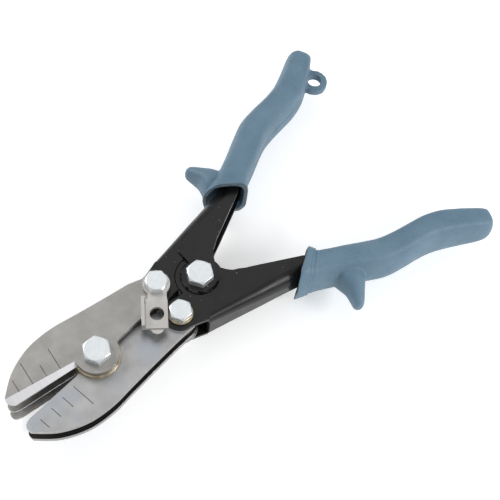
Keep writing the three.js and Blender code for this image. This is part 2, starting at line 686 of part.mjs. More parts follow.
function spring() {
  const section = arc(0, 0, SPRING_WIRE_RADIUS, [0, 360], 360 / SPRING_SIDES).slice(0, -1);
  const options = { steps: SPRING_STEPS, extrudePath: new SpringPath(), bevelEnabled: false };
  const wire = solid(new THREE.ExtrudeGeometry(polygon(section), options));
  return mesh('return_spring', wire, SPRING_STEEL);
}

// ---------------------------------------------------------------- assembly

// Two washers in each gap between blades.
function jawWashers() {
  const thickness = (PITCH - BLADE - 3 * FACE_GAP) / 2;
  const bore = QUARTER_BOLT.shank + RUNNING_FIT;
  const offset = (thickness + FACE_GAP) / 2;
  const levels = [1.5, 0.5, -0.5, -1.5].flatMap((gap) => [gap * PITCH + offset, gap * PITCH - offset]);
  return levels.map((z, i) => {
    const made = ring(`jaw_washer_${i + 1}`, JAW_WASHER_RADIUS, bore, thickness);
    return placed(made, 0, 0, z);
  });
}

function jawHardware() {
  const under = STACK_TOP + FACE_GAP;
  return [
    bolt('jaw_bolt', QUARTER_BOLT, under, -REST_HEIGHT, JAW_BOLT_TURN),
    nut('jaw_nut', QUARTER_BOLT, -under),
    ...jawWashers(),
  ];
}

function upperLinkHardware() {
  const under = STACK_TOP + LATCH + 2 * FACE_GAP;
  const nutTop = -STACK_TOP - FACE_GAP;
  const end = nutTop - LINK_BOLT.nut - THREAD_END / 2;
  const bore = LINK_BOLT.shank + RUNNING_FIT;
  const height = FLANGE_INSIDE - BLADE / 2 - 2 * FACE_GAP;
  const level = (FLANGE_INSIDE + BLADE / 2) / 2;
  const spacer = (name, z) => placed(ring(name, LINK_SPACER_RADIUS, bore, height), -LINK_X, LINK_Y, z);
  return [
    placed(bolt('upper_link_bolt', LINK_BOLT, under, end, UPPER_LINK_TURN), -LINK_X, LINK_Y, 0),
    placed(nut('upper_link_nut', LINK_BOLT, nutTop), -LINK_X, LINK_Y, 0),
    spacer('upper_link_spacer_top', level),
    spacer('upper_link_spacer_bottom', -level),
  ];
}

function lowerLinkHardware() {
  const under = CHANNEL_TOP + LINK_WASHER + 2 * FACE_GAP;
  const end = -under - LINK_BOLT.nut - THREAD_END / 2;
  const bore = LINK_BOLT.shank + RUNNING_FIT;
  const bladeTop = PITCH + BLADE / 2;
  const shim = FLANGE_INSIDE - bladeTop - 2 * FACE_GAP;
  const shimLevel = (bladeTop + FLANGE_INSIDE) / 2;
  const washerLevel = CHANNEL_TOP + FACE_GAP + LINK_WASHER / 2;
  const rings = [
    ['lower_link_washer_top', LINK_WASHER_RADIUS, LINK_WASHER, washerLevel],
    ['lower_link_washer_bottom', LINK_WASHER_RADIUS, LINK_WASHER, -washerLevel],
    ['lower_link_shim_top', LINK_SHIM_RADIUS, shim, shimLevel, BLUED_STEEL],
    ['lower_link_shim_bottom', LINK_SHIM_RADIUS, shim, -shimLevel, BLUED_STEEL],
    ['lower_link_spacer', LINK_SPACER_RADIUS, 2 * PITCH - BLADE - 2 * FACE_GAP, 0],
  ];
  return [
    placed(bolt('lower_link_bolt', LINK_BOLT, under, end, LOWER_LINK_TURN), LINK_X, LINK_Y, 0),
    placed(nut('lower_link_nut', LINK_BOLT, -under), LINK_X, LINK_Y, 0),
    ...rings.map(([name, outer, height, z, finish]) => (
      placed(ring(name, outer, bore, height, finish), LINK_X, LINK_Y, z)
    )),
  ];
}

function handlePivotHardware() {
  const under = TONGUE_TOP + FACE_GAP;
  const end = -under - QUARTER_BOLT.nut - THREAD_END;
  const bore = QUARTER_BOLT.shank + RUNNING_FIT;
  const length = 2 * LOBE_INSIDE - 4 * FACE_GAP;
  return [
    placed(bolt('handle_bolt', QUARTER_BOLT, under, end, HANDLE_BOLT_TURN), 0, HANDLE_PIVOT_Y, 0),
    placed(nut('handle_nut', QUARTER_BOLT, -under), 0, HANDLE_PIVOT_Y, 0),
    placed(ring('handle_sleeve', SLEEVE_RADIUS, bore, length), 0, HANDLE_PIVOT_Y, 0),
    spring(),
  ];
}

function blades() {
  return [
    placed(blade('upper_blade_top', -1, 1, UPPER_MARK_LENGTHS), 0, 0, TOP_BLADE),
    placed(blade('upper_blade_middle', -1, -1), 0, 0, 0),
    placed(blade('upper_blade_bottom', -1, -1), 0, 0, -TOP_BLADE),
    placed(blade('lower_blade_top', 1, -1, LOWER_MARK_LENGTHS), 0, 0, PITCH),
    placed(blade('lower_blade_bottom', 1, -1), 0, 0, -PITCH),
  ];
}

// Both handles are the same stamping; the upper one is turned over about the tool's axis.
function handles() {
  const lower = new THREE.Group();
  lower.add(channel('lower_handle_channel', OPEN_PIVOT_FIT), lowerGrip());
  const upper = new THREE.Group();
  upper.rotation.y = Math.PI;
  upper.add(channel('upper_handle_channel', RUNNING_FIT), upperGrip());
  return [lower, upper];
}

const tool = new THREE.Group();
tool.position.z = REST_HEIGHT;
tool.add(
  ...blades(),
  ...jawHardware(),
  ...upperLinkHardware(),
  ...lowerLinkHardware(),
  ...handlePivotHardware(),
  ...handles(),
  latch(),
);

const crimper = new THREE.Group();
crimper.name = 'crimper';
crimper.add(tool);

export default crimper;
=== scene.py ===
"""Fine surfaces, materials, light and camera for the five-blade sheet-metal crimper.

Shapes are drawn in millimetres about the mid-plane of the blade stack, with +Y along the tool
from the jaw bolt to the handles, and are scaled to metres and lifted onto the floor at the end.
"""

import json
import math

import bmesh
import bpy
from mathutils import Matrix, Vector


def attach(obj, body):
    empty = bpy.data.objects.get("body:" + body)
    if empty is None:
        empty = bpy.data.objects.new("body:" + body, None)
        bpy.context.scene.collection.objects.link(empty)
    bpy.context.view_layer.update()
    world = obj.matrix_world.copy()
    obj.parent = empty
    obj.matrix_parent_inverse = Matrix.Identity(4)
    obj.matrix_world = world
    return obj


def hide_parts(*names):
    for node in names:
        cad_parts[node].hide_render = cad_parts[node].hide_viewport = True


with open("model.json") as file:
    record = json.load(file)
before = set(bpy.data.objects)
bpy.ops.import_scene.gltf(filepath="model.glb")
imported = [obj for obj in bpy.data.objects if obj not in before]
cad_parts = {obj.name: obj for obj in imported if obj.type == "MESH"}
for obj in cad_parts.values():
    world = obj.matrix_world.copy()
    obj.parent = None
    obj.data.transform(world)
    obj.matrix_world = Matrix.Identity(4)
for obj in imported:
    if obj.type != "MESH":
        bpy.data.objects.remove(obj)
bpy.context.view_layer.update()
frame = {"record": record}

# ---------------------------------------------------------------- dimensions, millimetres

MM = 0.001
BLADE = 2.6
PITCH = 4.65
BEVEL_DEPTH = 2
BOSS_RADIUS = 9.5
LOWER_TAIL_RADIUS = 7.5
UPPER_TAIL_RADIUS = 5.6
MARK_SPACING = 6.35
MARK_WIDTH = 0.35
MARK_DEPTH = 0.15

LINK_X = 8.1
LINK_Y = 39.1
PIVOT_Y = 57.2

SHEET = 1.6
CHANNEL_TOP = 7.9
FRONT_BEND_RADIUS = 3
REAR_BEND_RADIUS = 7
LINK_EYE_RADIUS = 7.6
TONGUE_RAISE = 1.1
LOBE_DROP = 0.6
NOSE_RADIUS = 7.8
JOGGLE_RADIUS = 15.1
LOBE_RADIUS = 10.7
DISH_FLOOR_RADIUS = 7.95
DISH_RIM_RADIUS = 9.1
LOBE_CLEARANCE_RADIUS = 11.1

QUARTER_BOLT = {"shank": 3.175, "flats": 11, "head": 3.95, "nut": 4}
LINK_BOLT = {"shank": 2.4, "flats": 9.3, "head": 3.3, "nut": 3.3}
THREAD_END = 0.8
RUNNING_FIT = 0.06
OPEN_PIVOT_FIT = 0.55
GAP = 0.05
JAW_WASHER_RADIUS = 10.1
LINK_SPACER_RADIUS = 6.2
LINK_SHIM_RADIUS = 8.2
LINK_WASHER_RADIUS = 5.6
LINK_WASHER = 1
SLEEVE_RADIUS = 4.9

LATCH = 1.6
LATCH_ANGLE = -38.8
LATCH_END = 21.2
LATCH_TAB_HEIGHT = 5
LATCH_CREASE = [(8.4, -5.2), (22.8, -5.2), (22.8, -4.8), (8.4, -4.8)]
LATCH_CREASE_FLOOR = 0.7

GRIP_HALF_HEIGHT = 11.2
MOUTH_FLARE = 2
MOUTH_HOLLOW = ((-0.4, 0.6), (0, 0.4), (0.8, -1.4), (1.5, -3))  # place from mouth to collar end, growth
COLLAR_FLARE = 0.9
GRIP_SKIN = 0.08
INNER_SQUARENESS = 4.2
OUTER_SQUARENESS = 2.1
POCKET_GAP = 0.35
POCKET_CORNER = 3.6
TANG_INNER = 0.22
TANG_OUTER = 0.8
LOOP_AT = (48.4, 176.8)
LOOP_HOLE = 3.6
LOOP_RING = 6.5
LOOP_HALF = 2
SEAM_HALF = 0.22
SEAM_DEPTH = 0.5

TOP_BLADE = 2 * PITCH
STACK_TOP = TOP_BLADE + BLADE / 2
FLANGE_INSIDE = CHANNEL_TOP - SHEET
TONGUE_TOP = CHANNEL_TOP + TONGUE_RAISE
LOBE_TOP = CHANNEL_TOP - LOBE_DROP
LOBE_INSIDE = LOBE_TOP - SHEET
REST_HEIGHT = STACK_TOP + GAP + QUARTER_BOLT["nut"] + THREAD_END
THROUGH = 3 * STACK_TOP

# Outlines in plan, for the +X side; the other side mirrors or turns them over.
BLADE_TIP = [(3.5, -37.4), (3.75, -38.6), (4.2, -39.6), (4.95, -40.5), (5.9, -41), (7.0, -41.05)]
BLADE_BACK = [
    (8.2, -40.8), (12.1, -36.5), (15.4, -32.1), (18.4, -25.8), (20.3, -19.2), (20.9, -12.5),
    (20.7, -5.5), (19.7, 1.5), (18.6, 10), (17.4, 20), (16.3, 30),
]
BLADE_NECK = [(0.4, 30), (0.1, 22), (-1.1, 11)]
BEVEL_LOW = ((3.5, -37.6), (1, -9.6))
BEVEL_HIGH = ((7.1, -41), (2.8, -9.6))
FIRST_MARK = (6.6, -34.7)
UPPER_MARK_LENGTHS = (6, 11, 6, 10.4)
LOWER_MARK_LENGTHS = (5.2, 5.4, 6.2, 11.4)
RUN_OUT = (4.5, -10, 1.5)
BLADE_LEVEL = {
    "upper_blade_top": TOP_BLADE, "upper_blade_middle": 0, "upper_blade_bottom": -TOP_BLADE,
    "lower_blade_top": PITCH, "lower_blade_bottom": -PITCH,
}
# Blades with a side in painted shade (near-black colour standing for the shadow between stacked blades),
# and whether it faces up (1) or down (-1).
PAINTED_SHADE_SIDE = {
    "upper_blade_top": -1, "upper_blade_middle": -1,
    "lower_blade_top": -1, "lower_blade_bottom": 1,
}

# Points on the web and on the flange's free edge, from front to back.
CHANNEL_FREE = [
    ((18.9, 47), (13.5, 47)), ((20, 52), (12.5, 53)), ((21.4, 58.2), (11.5, 60)),
    ((23, 65.2), (7.4, 70.5)), ((24.6, 72.2), (9.75, 76)), ((25.6, 76.6), (11.6, 79.9)),
    ((27, 83), (14.8, 86.2)), ((28.4, 88.7), (18.2, 92.9)), ((29.6, 93.5), (21.8, 100)),
]
FLANGE_REAR = [(11.2, 78.2), (14, 78), (17.5, 70), (17, 60), (15.8, 50), (18.3, 47.1)]
LOBE_SIDE = [(0.3, 48), (3, 57), (6.6, 64.9), (6.4, 68.5), (7.2, 71.6), (8.9, 74.4)]
TONGUE_SIDE = [
    (0.6, 47.4), (3, 57), (14.9, 57.6), (14.9, 58.6), (9, 66), (6.6, 71.3), (8.4, 74.2),
]
LOBE_WEB = [
    (2.4, 67.8), (4.1, 68.8), (5.8, 70.2), (7.3, 71.9), (8.9, 74.4), (8.5, 66), (5, 63),
]
LATCH_OUTLINE = [
    (7.2, -3.8), (7.6, -5), (LATCH_END, -5), (LATCH_END, 4.7), (8.6, 4.7), (6.6, 4.4),
]
LATCH_TAB = [(7.4, -6.6), (LATCH_END, -6.6), (LATCH_END, -4.9), (7.4, -4.9)]
LATCH_EYE_RADIUS = 6
LATCH_FINGER_AT = 14.4
LATCH_FINGER_RADIUS = 3.1
LATCH_NOSE_RADIUS = 2.9
LATCH_NOSE_INSET = 0.7

GRIP_MOUTH = ((20.8, 102.8), (30.6, 88.4))
COLLAR_END = ((23.3, 106.5), (33.8, 93.8))
# Points on the inner and outer side of a grip, and its half height there.
GRIP_BODY = [
    ((24, 107.6), (34.6, 95.4), 11.2), ((26.6, 112.3), (37.4, 101.4), 11.2),
    ((30, 119), (42, 110.4), 11.2), ((33.8, 126), (47.2, 119.6), 11.2),
    ((37.2, 133.1), (51.6, 128.2), 11.2), ((39.3, 140.9), (53.6, 137.4), 11.2),
    ((40.8, 149.4), (54.9, 146.6), 11.2), ((42.3, 157.8), (56.8, 154.4), 11.2),
    ((45.2, 166.1), (60, 161.6), 10.8), ((49.6, 173.3), (63.6, 168.6), 10.2),
    ((54.2, 179.8), (67, 175), 9.4), ((57.2, 183.8), (68.4, 178.9), 8.6),
    ((59, 185.9), (68, 181.7), 7.2),
]
TANG_STATIONS = (1, 3, 5, 8)
LOWER_HORN = ((43.2, 113.2), (54.6, 105))
UPPER_HORN = ((36.4, 98), (48.2, 92))
UPPER_END_SHIFT = (-0.6, -2)
LEAN_FROM = 8  # grip section where the shift begins
LEAN_SECTIONS = 3
HORN_HALF_WIDTH = 5
HORN_HALF_HEIGHT = 8.5
HORN_SQUARENESS = 2.4
# Place from root to tip, growth behind and growth in front.
HORN_TAPER = [
    (-0.25, 1, 2.3), (0.05, 1, 1.9), (0.25, 0.93, 1.4), (0.45, 0.8, 0.95), (0.8, 0.62, 0.62),
    (0.97, 0.48, 0.48), (1.06, 0.26, 0.26),
]
LOOP_ROOT = [(48.4, 170.3), (53.4, 171.8), (55.4, 179.8), (51.4, 182.3)]
# Place from mouth to collar end, growth, and how ragged the lip is.
COLLAR_STEPS = [
    (0, MOUTH_FLARE - 0.5, 1), (0.03, MOUTH_FLARE - 0.1, 1), (0.09, MOUTH_FLARE, 0.9),
    (0.4, 1.6, 0.3), (0.7, 1.3, 0), (0.74, 1.2, 0), (0.76, 0.95, 0), (0.8, COLLAR_FLARE, 0),
    (0.95, COLLAR_FLARE, 0), (1.0, 0.75, 0), (1.03, 0.1, 0), (1.3, 0, 0), (1.5, -0.4, 0),
]
RESIDUE_DEPTH = 1.6

SPRING_TURNS = 4
SPRING_PITCH = 2.1
SPRING_RADIUS = 6.2
SPRING_WIRE = 0.9  # radius
SPRING_LEG = 0.12  # share of the wire's steps on each leg
SPRING_LEG_END = (19.6, 71)
SPRING_STEPS = 420
SPRING_SIDES = 14

FINE = 96  # sides of a round piece
ARC_STEP = 3  # degrees
SPLINE_STEPS = 5  # along a grip

# Material slots of a blade.
FLAT, BEVEL, EDGE, GROOVE, RIM, INNER = range(6)


# ---------------------------------------------------------------- mesh helpers


def arc(x, y, radius, start, end, step=ARC_STEP):
    count = max(1, math.ceil(abs(end - start) / step))
    angles = [math.radians(start + (end - start) * i / count) for i in range(count + 1)]
    return [(x + radius * math.cos(a), y + radius * math.sin(a)) for a in angles]


def spline(points, per_span):
    """Catmull-Rom curve through tuples of numbers."""
    points = [Vector(p) for p in points]
    last = len(points) - 1
    made = []
    for i in range(last):
        p0, p1, p2, p3 = points[max(i - 1, 0)], points[i], points[i + 1], points[min(i + 2, last)]
        v0, v1 = (p2 - p0) / 2, (p3 - p1) / 2
        for k in range(per_span):
            t = k / per_span
            cubic = (2 * p1 - 2 * p2 + v0 + v1) * t**3 + (-3 * p1 + 3 * p2 - 2 * v0 - v1) * t**2
            made.append(tuple(cubic + v0 * t + p1))
    return [*made, tuple(points[last])]


def spline_rows(rows, per_span):
    """Catmull-Rom through rows of five numbers."""
    heads = spline([row[:3] for row in rows], per_span)
    tails = spline([(*row[3:], 0) for row in rows], per_span)
    return [(*head, *tail[:2]) for head, tail in zip(heads, tails)]


def new_object(name, verts, faces):
    mesh = bpy.data.meshes.new(name)
    mesh.from_pydata([tuple(v) for v in verts], [], faces)
    bm = bmesh.new()
    bm.from_mesh(mesh)
    bmesh.ops.recalc_face_normals(bm, faces=bm.faces)
    bm.to_mesh(mesh)
    bm.free()
    obj = bpy.data.objects.new(name, mesh)
    bpy.context.scene.collection.objects.link(obj)
    return obj


def loft(rings, name="loft"):
    """Closed body through rings of equal length, with flat ends."""
    count = len(rings[0])
    verts = [v for ring in rings for v in ring]
    faces = []
    for r in range(len(rings) - 1):
        for i in range(count):
            a, b = r * count + i, r * count + (i + 1) % count
            faces.append((a, b, b + count, a + count))
    last = (len(rings) - 1) * count
    faces.append(tuple(range(count)))
    faces.append(tuple(last + i for i in range(count)))
    return new_object(name, verts, faces)


def plate(points, low, high):
    return loft([[(x, y, z) for x, y in points] for z in (low, high)], "plate")


def disc(x, y, radius, low, high, sides=FINE):
    ring = [
        (x + radius * math.cos(2 * math.pi * i / sides), y + radius * math.sin(2 * math.pi * i / sides))
        for i in range(sides)
    ]
    return plate(ring, low, high)


def hole(x, y, radius):
    return disc(x, y, radius, -THROUGH, THROUGH)


def lathe(profile, x, y, sides=FINE):
    """Solid of revolution about an upright axis; the profile's ends are on the axis."""
    rim = profile[1:-1]
    verts = [(x, y, profile[0][1]), (x, y, profile[-1][1])]
    for r, z in rim:
        for i in range(sides):
            a = 2 * math.pi * i / sides
            verts.append((x + r * math.cos(a), y + r * math.sin(a), z))
    faces = []
    for i in range(sides):
        j = (i + 1) % sides
        faces.append((0, 2 + i, 2 + j))
        top = 2 + (len(rim) - 1) * sides
        faces.append((1, top + j, top + i))
        for r in range(len(rim) - 1):
            a = 2 + r * sides
            faces.append((a + i, a + j, a + j + sides, a + i + sides))
    return new_object("lathe", verts, faces)


def bake(obj):
    """Makes the object's modifiers part of its mesh."""
    graph = bpy.context.evaluated_depsgraph_get()
    mesh = bpy.data.meshes.new_from_object(obj.evaluated_get(graph))
    obj.modifiers.clear()
    obj.data = mesh
    return obj


def boolean(obj, others, operation, solver="EXACT"):
    for other in others:
        modifier = obj.modifiers.new("boolean", "BOOLEAN")
        modifier.operation = operation
        modifier.solver = solver
        modifier.object = other
    bake(obj)
    for other in others:
        bpy.data.objects.remove(other)
    return obj


def join(obj, *others, solver="EXACT"):
    return boolean(obj, others, "UNION", solver)


def cut(obj, *others, solver="EXACT"):
    return boolean(obj, others, "DIFFERENCE", solver)


def clean(obj, angle=0.2):
    bm = bmesh.new()
    bm.from_mesh(obj.data)
    bmesh.ops.remove_doubles(bm, verts=bm.verts, dist=0.001)
    bmesh.ops.dissolve_limit(bm, angle_limit=math.radians(angle), verts=bm.verts, edges=bm.edges)
    bmesh.ops.recalc_face_normals(bm, faces=bm.faces)
    bm.to_mesh(obj.data)
    bm.free()
    return obj


def soften(obj, width=0.2, segments=2, edge_slot=-1, limit=32):
    """Rounds the sharp edges and lets broad flats keep their normals."""
    bevel = obj.modifiers.new("edges", "BEVEL")
    bevel.width = width * MM
    bevel.segments = segments
    bevel.limit_method = "ANGLE"
    bevel.angle_limit = math.radians(limit)
    bevel.use_clamp_overlap = True
    bevel.material = edge_slot
    weighted = obj.modifiers.new("normals", "WEIGHTED_NORMAL")
    weighted.keep_sharp = False
    weighted.weight = 80
    shade_smooth(obj)
    return obj


def shade_smooth(obj, crease=None):
    """Smooth shading, with sharp edges where faces meet at more than crease degrees."""
    for polygon in obj.data.polygons:
        polygon.use_smooth = True
    if crease is not None:
        obj.data.set_sharp_from_angle(angle=math.radians(crease))


def place(obj, name, node, transform=None):
    """Scales a finished piece to metres, lifts it into place and lets it stand for its node."""
    to_frame = Matrix.Scale(MM, 4) @ Matrix.Translation((0, 0, REST_HEIGHT))
    obj.data.transform(to_frame @ (transform or Matrix.Identity(4)))
    if transform is not None and transform.determinant() < 0:
        obj.data.flip_normals()
    obj.name = name
    obj.data.name = name
    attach(obj, body_of[node])
    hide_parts(node)
    return obj


body_of = {
    node: body
    for body, nodes in frame["record"]["behaviour"]["bodies"].items()
    for node in nodes
}
TURNED_OVER = Matrix.Rotation(math.pi, 4, "Y")
MIRRORED = Matrix.Scale(-1, 4, (1, 0, 0))
FLIPPED = Matrix.Scale(-1, 4, (0, 0, 1))


# ---------------------------------------------------------------- materials


class Shader:
    """A material's node tree, with short calls for the nodes used here."""

    def __init__(self, name, color, roughness, metallic=0.0, **sockets):
        self.material = bpy.data.materials.new(name)
        self.material.use_nodes = True
        self.tree = self.material.node_tree
        self.bsdf = self.tree.nodes["Principled BSDF"]
        self.set("Base Color", (*color, 1))
        self.set("Roughness", roughness)
        self.set("Metallic", metallic)
        for key, value in sockets.items():
            self.set(key.replace("_", " "), value)
        self.place = self.node("ShaderNodeTexCoord").outputs["Object"]

    def set(self, socket, value):
        target = self.bsdf.inputs[socket]
        if isinstance(value, bpy.types.NodeSocket):
            self.tree.links.new(value, target)
        else:
            target.default_value = value

    def node(self, kind, inputs=None, **settings):
        made = self.tree.nodes.new(kind)
        for key, value in settings.items():
            setattr(made, key, value)
        for key, value in (inputs or {}).items():
            if isinstance(value, bpy.types.NodeSocket):
                self.tree.links.new(value, made.inputs[key])
            else:
                made.inputs[key].default_value = value
        return made

    def noise(self, size_mm, detail=3.0, stretch=(1, 1, 1), rough=0.5, turn=0.0):
        mapping = self.node(
            "ShaderNodeMapping",
            {"Vector": self.place, "Scale": stretch, "Rotation": (0, 0, math.radians(turn))},
        )
        texture = self.node(
            "ShaderNodeTexNoise",
            {
                "Vector": mapping.outputs[0],
                "Scale": 1 / (size_mm * MM),
                "Detail": detail,
                "Roughness": rough,
            },
        )
        return texture.outputs["Fac"]

    def ramp(self, value, low, high, to_low=0.0, to_high=1.0):
        made = self.node(
            "ShaderNodeMapRange",
            {"Value": value, "From Min": low, "From Max": high, "To Min": to_low, "To Max": to_high},
        )
        return made.outputs[0]

    def mix(self, factor, a, b):
        made = self.node("ShaderNodeMix", data_type="RGBA")
        for index, value in ((0, factor), (6, a), (7, b)):
            if isinstance(value, bpy.types.NodeSocket):
                self.tree.links.new(value, made.inputs[index])
            elif index == 0:
                made.inputs[index].default_value = value
            else:
                made.inputs[index].default_value = (*value, 1)
        return made.outputs[2]

    def math(self, operation, a, b):
        return self.node("ShaderNodeMath", {0: a, 1: b}, operation=operation).outputs[0]

    def bump(self, height, distance_mm, strength=1.0):
        made = self.node(
            "ShaderNodeBump",
            {"Height": height, "Distance": distance_mm * MM, "Strength": strength},
        )
        self.set("Normal", made.outputs[0])


def steel(name, light, dark, roughness, grain_turn=0.0, tint=None):
    """Rolled and tumbled sheet steel: soft mottling, fine grain, faint long scratches."""
    shader = Shader(name, light, roughness, 0.9)
    mottle = shader.ramp(shader.noise(9, 4, rough=0.6), 0.35, 0.68)
    fine = shader.noise(0.5, 2)
    color = shader.mix(mottle, dark, light)
    if tint is not None:
        patch = shader.ramp(shader.noise(16, 2), 0.42, 0.66)
        color = shader.mix(patch, color, tint)
    scratch = shader.ramp(shader.noise(5, 2, (1, 0.03, 1), turn=grain_turn), 0.62, 0.7)
    color = shader.mix(shader.math("MULTIPLY", scratch, 0.12), color, (0.85, 0.85, 0.85))
    shader.set("Base Color", shader.mix(shader.ramp(fine, 0.3, 0.7, 0, 0.1), color, dark))
    shader.set("Roughness", shader.ramp(shader.noise(3, 4), 0.3, 0.7, roughness - 0.07, roughness + 0.08))
    shader.bump(shader.noise(0.35, 2), 0.012, 0.5)
    return shader.material


def make_upper_steel():
    return steel("upper_blade_satin", (0.445, 0.43, 0.41), (0.36, 0.345, 0.325), 0.42)


def make_lower_steel():
    return steel(
        "lower_blade_tinted", (0.56, 0.555, 0.55), (0.45, 0.445, 0.44), 0.38, tint=(0.46, 0.485, 0.52)
    )


def make_sheared():
    """Sheared rim of a blade, streaked across its thickness."""
    shader = Shader("sheared_rim", (0.36, 0.35, 0.34), 0.36, 0.9)
    streak = shader.noise(0.7, 3, (1, 1, 0.15))
    shader.set("Base Color", shader.mix(streak, (0.24, 0.235, 0.23), (0.46, 0.45, 0.44)))
    shader.bump(streak, 0.02, 0.5)
    return shader.material


def make_painted_inner_shade():
    """Face of a blade that looks at the next blade: painted shade, near black with faint patches,
    standing for the shadow between the blades.
    """
    shader = Shader("inner_face_painted_shade", (0.02, 0.0195, 0.019), 0.5, 0.0, Specular_IOR_Level=0.15)
    shade_patches = shader.noise(3, 3)
    shader.set("Base Color", shader.mix(shade_patches, (0.008, 0.0078, 0.0075), (0.035, 0.033, 0.031)))
    return shader.material


def make_ground():
    shader = Shader("ground_bevel", (0.86, 0.85, 0.87), 0.34, 0.7)
    lines = shader.noise(2.2, 3, (0.04, 1, 0.04), turn=5)
    shader.set("Base Color", shader.mix(lines, (0.74, 0.73, 0.75), (0.93, 0.92, 0.94)))
    shader.bump(lines, 0.01, 0.5)
    return shader.material


def make_bright_edge():
    shader = Shader("bright_edge", (0.72, 0.72, 0.73), 0.3, 0.9)
    patch = shader.ramp(shader.noise(3, 3), 0.35, 0.65)
    shader.set("Base Color", shader.mix(patch, (0.42, 0.41, 0.4), (0.8, 0.8, 0.81)))
    return shader.material


def make_mark():
    shader = Shader("graduation_groove", (0.12, 0.115, 0.11), 0.6, 0.4)
    shader.set("Roughness", shader.ramp(shader.noise(0.6), 0.3, 0.7, 0.5, 0.7))
    return shader.material


def make_zinc():
    shader = Shader("pale_zinc", (0.8, 0.84, 0.86), 0.3, 0.75)
    patch = shader.ramp(shader.noise(2.4, 4), 0.35, 0.65)
    shader.set("Base Color", shader.mix(patch, (0.8, 0.84, 0.86), (0.87, 0.9, 0.915)))
    shader.set("Roughness", shader.ramp(shader.noise(1.1, 3), 0.3, 0.7, 0.24, 0.38))
    shader.bump(shader.noise(1.6, 2), 0.012, 0.4)
    return shader.material


def make_yellow_zinc():
    shader = Shader("yellow_zinc", (0.5, 0.4, 0.27), 0.38, 0.85)
    patch = shader.ramp(shader.noise(2.5, 4), 0.35, 0.65)
    shader.set("Base Color", shader.mix(patch, (0.36, 0.29, 0.19), (0.62, 0.54, 0.4)))
    shader.set("Roughness", shader.ramp(shader.noise(1.2, 3), 0.3, 0.7, 0.3, 0.46))
    return shader.material


def make_black():
    """Baked black coating with dust specks and a few fine scratches."""
    shader = Shader("black_coating", (0.012, 0.0115, 0.011), 0.3, 0.0, Specular_IOR_Level=0.4)
    haze = shader.ramp(shader.noise(14, 3), 0.4, 0.75, 0, 0.35)
    color = shader.mix(haze, (0.007, 0.0068, 0.0065), (0.018, 0.0165, 0.015))
    specks = shader.ramp(shader.noise(1.1, 2, rough=0.4), 0.74, 0.78, 0, 0.6)
    scratches = shader.ramp(shader.noise(3, 2, (1, 0.06, 1), turn=35), 0.71, 0.75, 0, 0.4)
    color = shader.mix(shader.math("MAXIMUM", specks, scratches), color, (0.42, 0.42, 0.4))
    shader.set("Base Color", color)
    shader.set("Roughness", shader.ramp(shader.noise(5, 4), 0.3, 0.7, 0.24, 0.36))
    shader.bump(shader.noise(0.7, 3), 0.015, 0.5)
    return shader.material


def make_worn_black():
    """Edge of the black coating, rubbed through here and there."""
    shader = Shader("worn_black_edge", (0.05, 0.045, 0.04), 0.34, 0.3)
    worn = shader.ramp(shader.noise(4, 4, rough=0.6), 0.5, 0.64)
    shader.set("Base Color", shader.mix(worn, (0.04, 0.033, 0.025), (0.36, 0.33, 0.29)))
    shader.set("Metallic", shader.ramp(worn, 0, 1, 0, 0.8))
    return shader.material


def make_rubbed():
    """Rim of a tongue's nose, rubbed bright where it slides over the other handle."""
    shader = Shader("rubbed_nose", (0.4, 0.4, 0.4), 0.3, 0.8)
    patch = shader.ramp(shader.noise(2.5, 3), 0.42, 0.56)
    shader.set("Base Color", shader.mix(patch, (0.03, 0.03, 0.03), (0.75, 0.76, 0.78)))
    return shader.material


def make_vinyl():
    """Dipped vinyl: matte, with a fine pebble and faint clouding."""
    shader = Shader("grip_vinyl", (0.12, 0.19, 0.25), 0.45, 0.0, Specular_IOR_Level=0.38)
    cloud = shader.ramp(shader.noise(12, 3), 0.35, 0.7)
    color = shader.mix(cloud, (0.102, 0.18, 0.246), (0.132, 0.217, 0.289))
    pebble = shader.noise(0.55, 2)
    color = shader.mix(shader.ramp(pebble, 0.5, 0.75, 0, 0.3), color, (0.25, 0.34, 0.4))
    rub = shader.ramp(shader.noise(2.5, 4), 0.7, 0.78, 0, 0.35)
    shader.set("Base Color", shader.mix(rub, color, (0.12, 0.185, 0.24)))
    shader.set("Roughness", shader.ramp(shader.noise(4, 3), 0.3, 0.7, 0.46, 0.58))
    shader.bump(pebble, 0.05, 0.5)
    return shader.material


def make_residue():
    """Lip of the grip's mouth, with the tan residue of its adhesive."""
    shader = Shader("mouth_residue", (0.2, 0.2, 0.18), 0.6)
    patch = shader.ramp(shader.noise(1.6, 4), 0.56, 0.68)
    shader.set("Base Color", shader.mix(patch, (0.09, 0.14, 0.185), (0.26, 0.2, 0.13)))
    shader.bump(shader.noise(0.8, 3), 0.05, 0.6)
    return shader.material


def make_latch_steel():
    return steel("latch_satin", (0.67, 0.65, 0.62), (0.57, 0.55, 0.52), 0.36, grain_turn=50)


def make_spring_steel():
    shader = Shader("oiled_spring_wire", (0.16, 0.16, 0.17), 0.35, 0.9)
    shader.set("Roughness", shader.ramp(shader.noise(1.5, 3), 0.3, 0.7, 0.25, 0.45))
    return shader.material


UPPER_STEEL = make_upper_steel()
LOWER_STEEL = make_lower_steel()
SHEARED = make_sheared()
# painted shade for the faces of blades that look at the next blade
PAINTED_INNER_SHADE = make_painted_inner_shade()
GROUND = make_ground()
BRIGHT_EDGE = make_bright_edge()
MARK = make_mark()
ZINC = make_zinc()
YELLOW_ZINC = make_yellow_zinc()
BLACK = make_black()
WORN_BLACK = make_worn_black()
RUBBED = make_rubbed()
VINYL = make_vinyl()
RESIDUE = make_residue()
LATCH_STEEL = make_latch_steel()
SPRING_STEEL = make_spring_steel()


def paint(obj, *materials, choose=None):
    """Gives a piece its materials; choose maps a face to one of them."""
    obj.data.materials.clear()
    for material in materials:
        obj.data.materials.append(material)
    for polygon in obj.data.polygons:
        polygon.material_index = choose(polygon) if choose else 0


# ---------------------------------------------------------------- blades


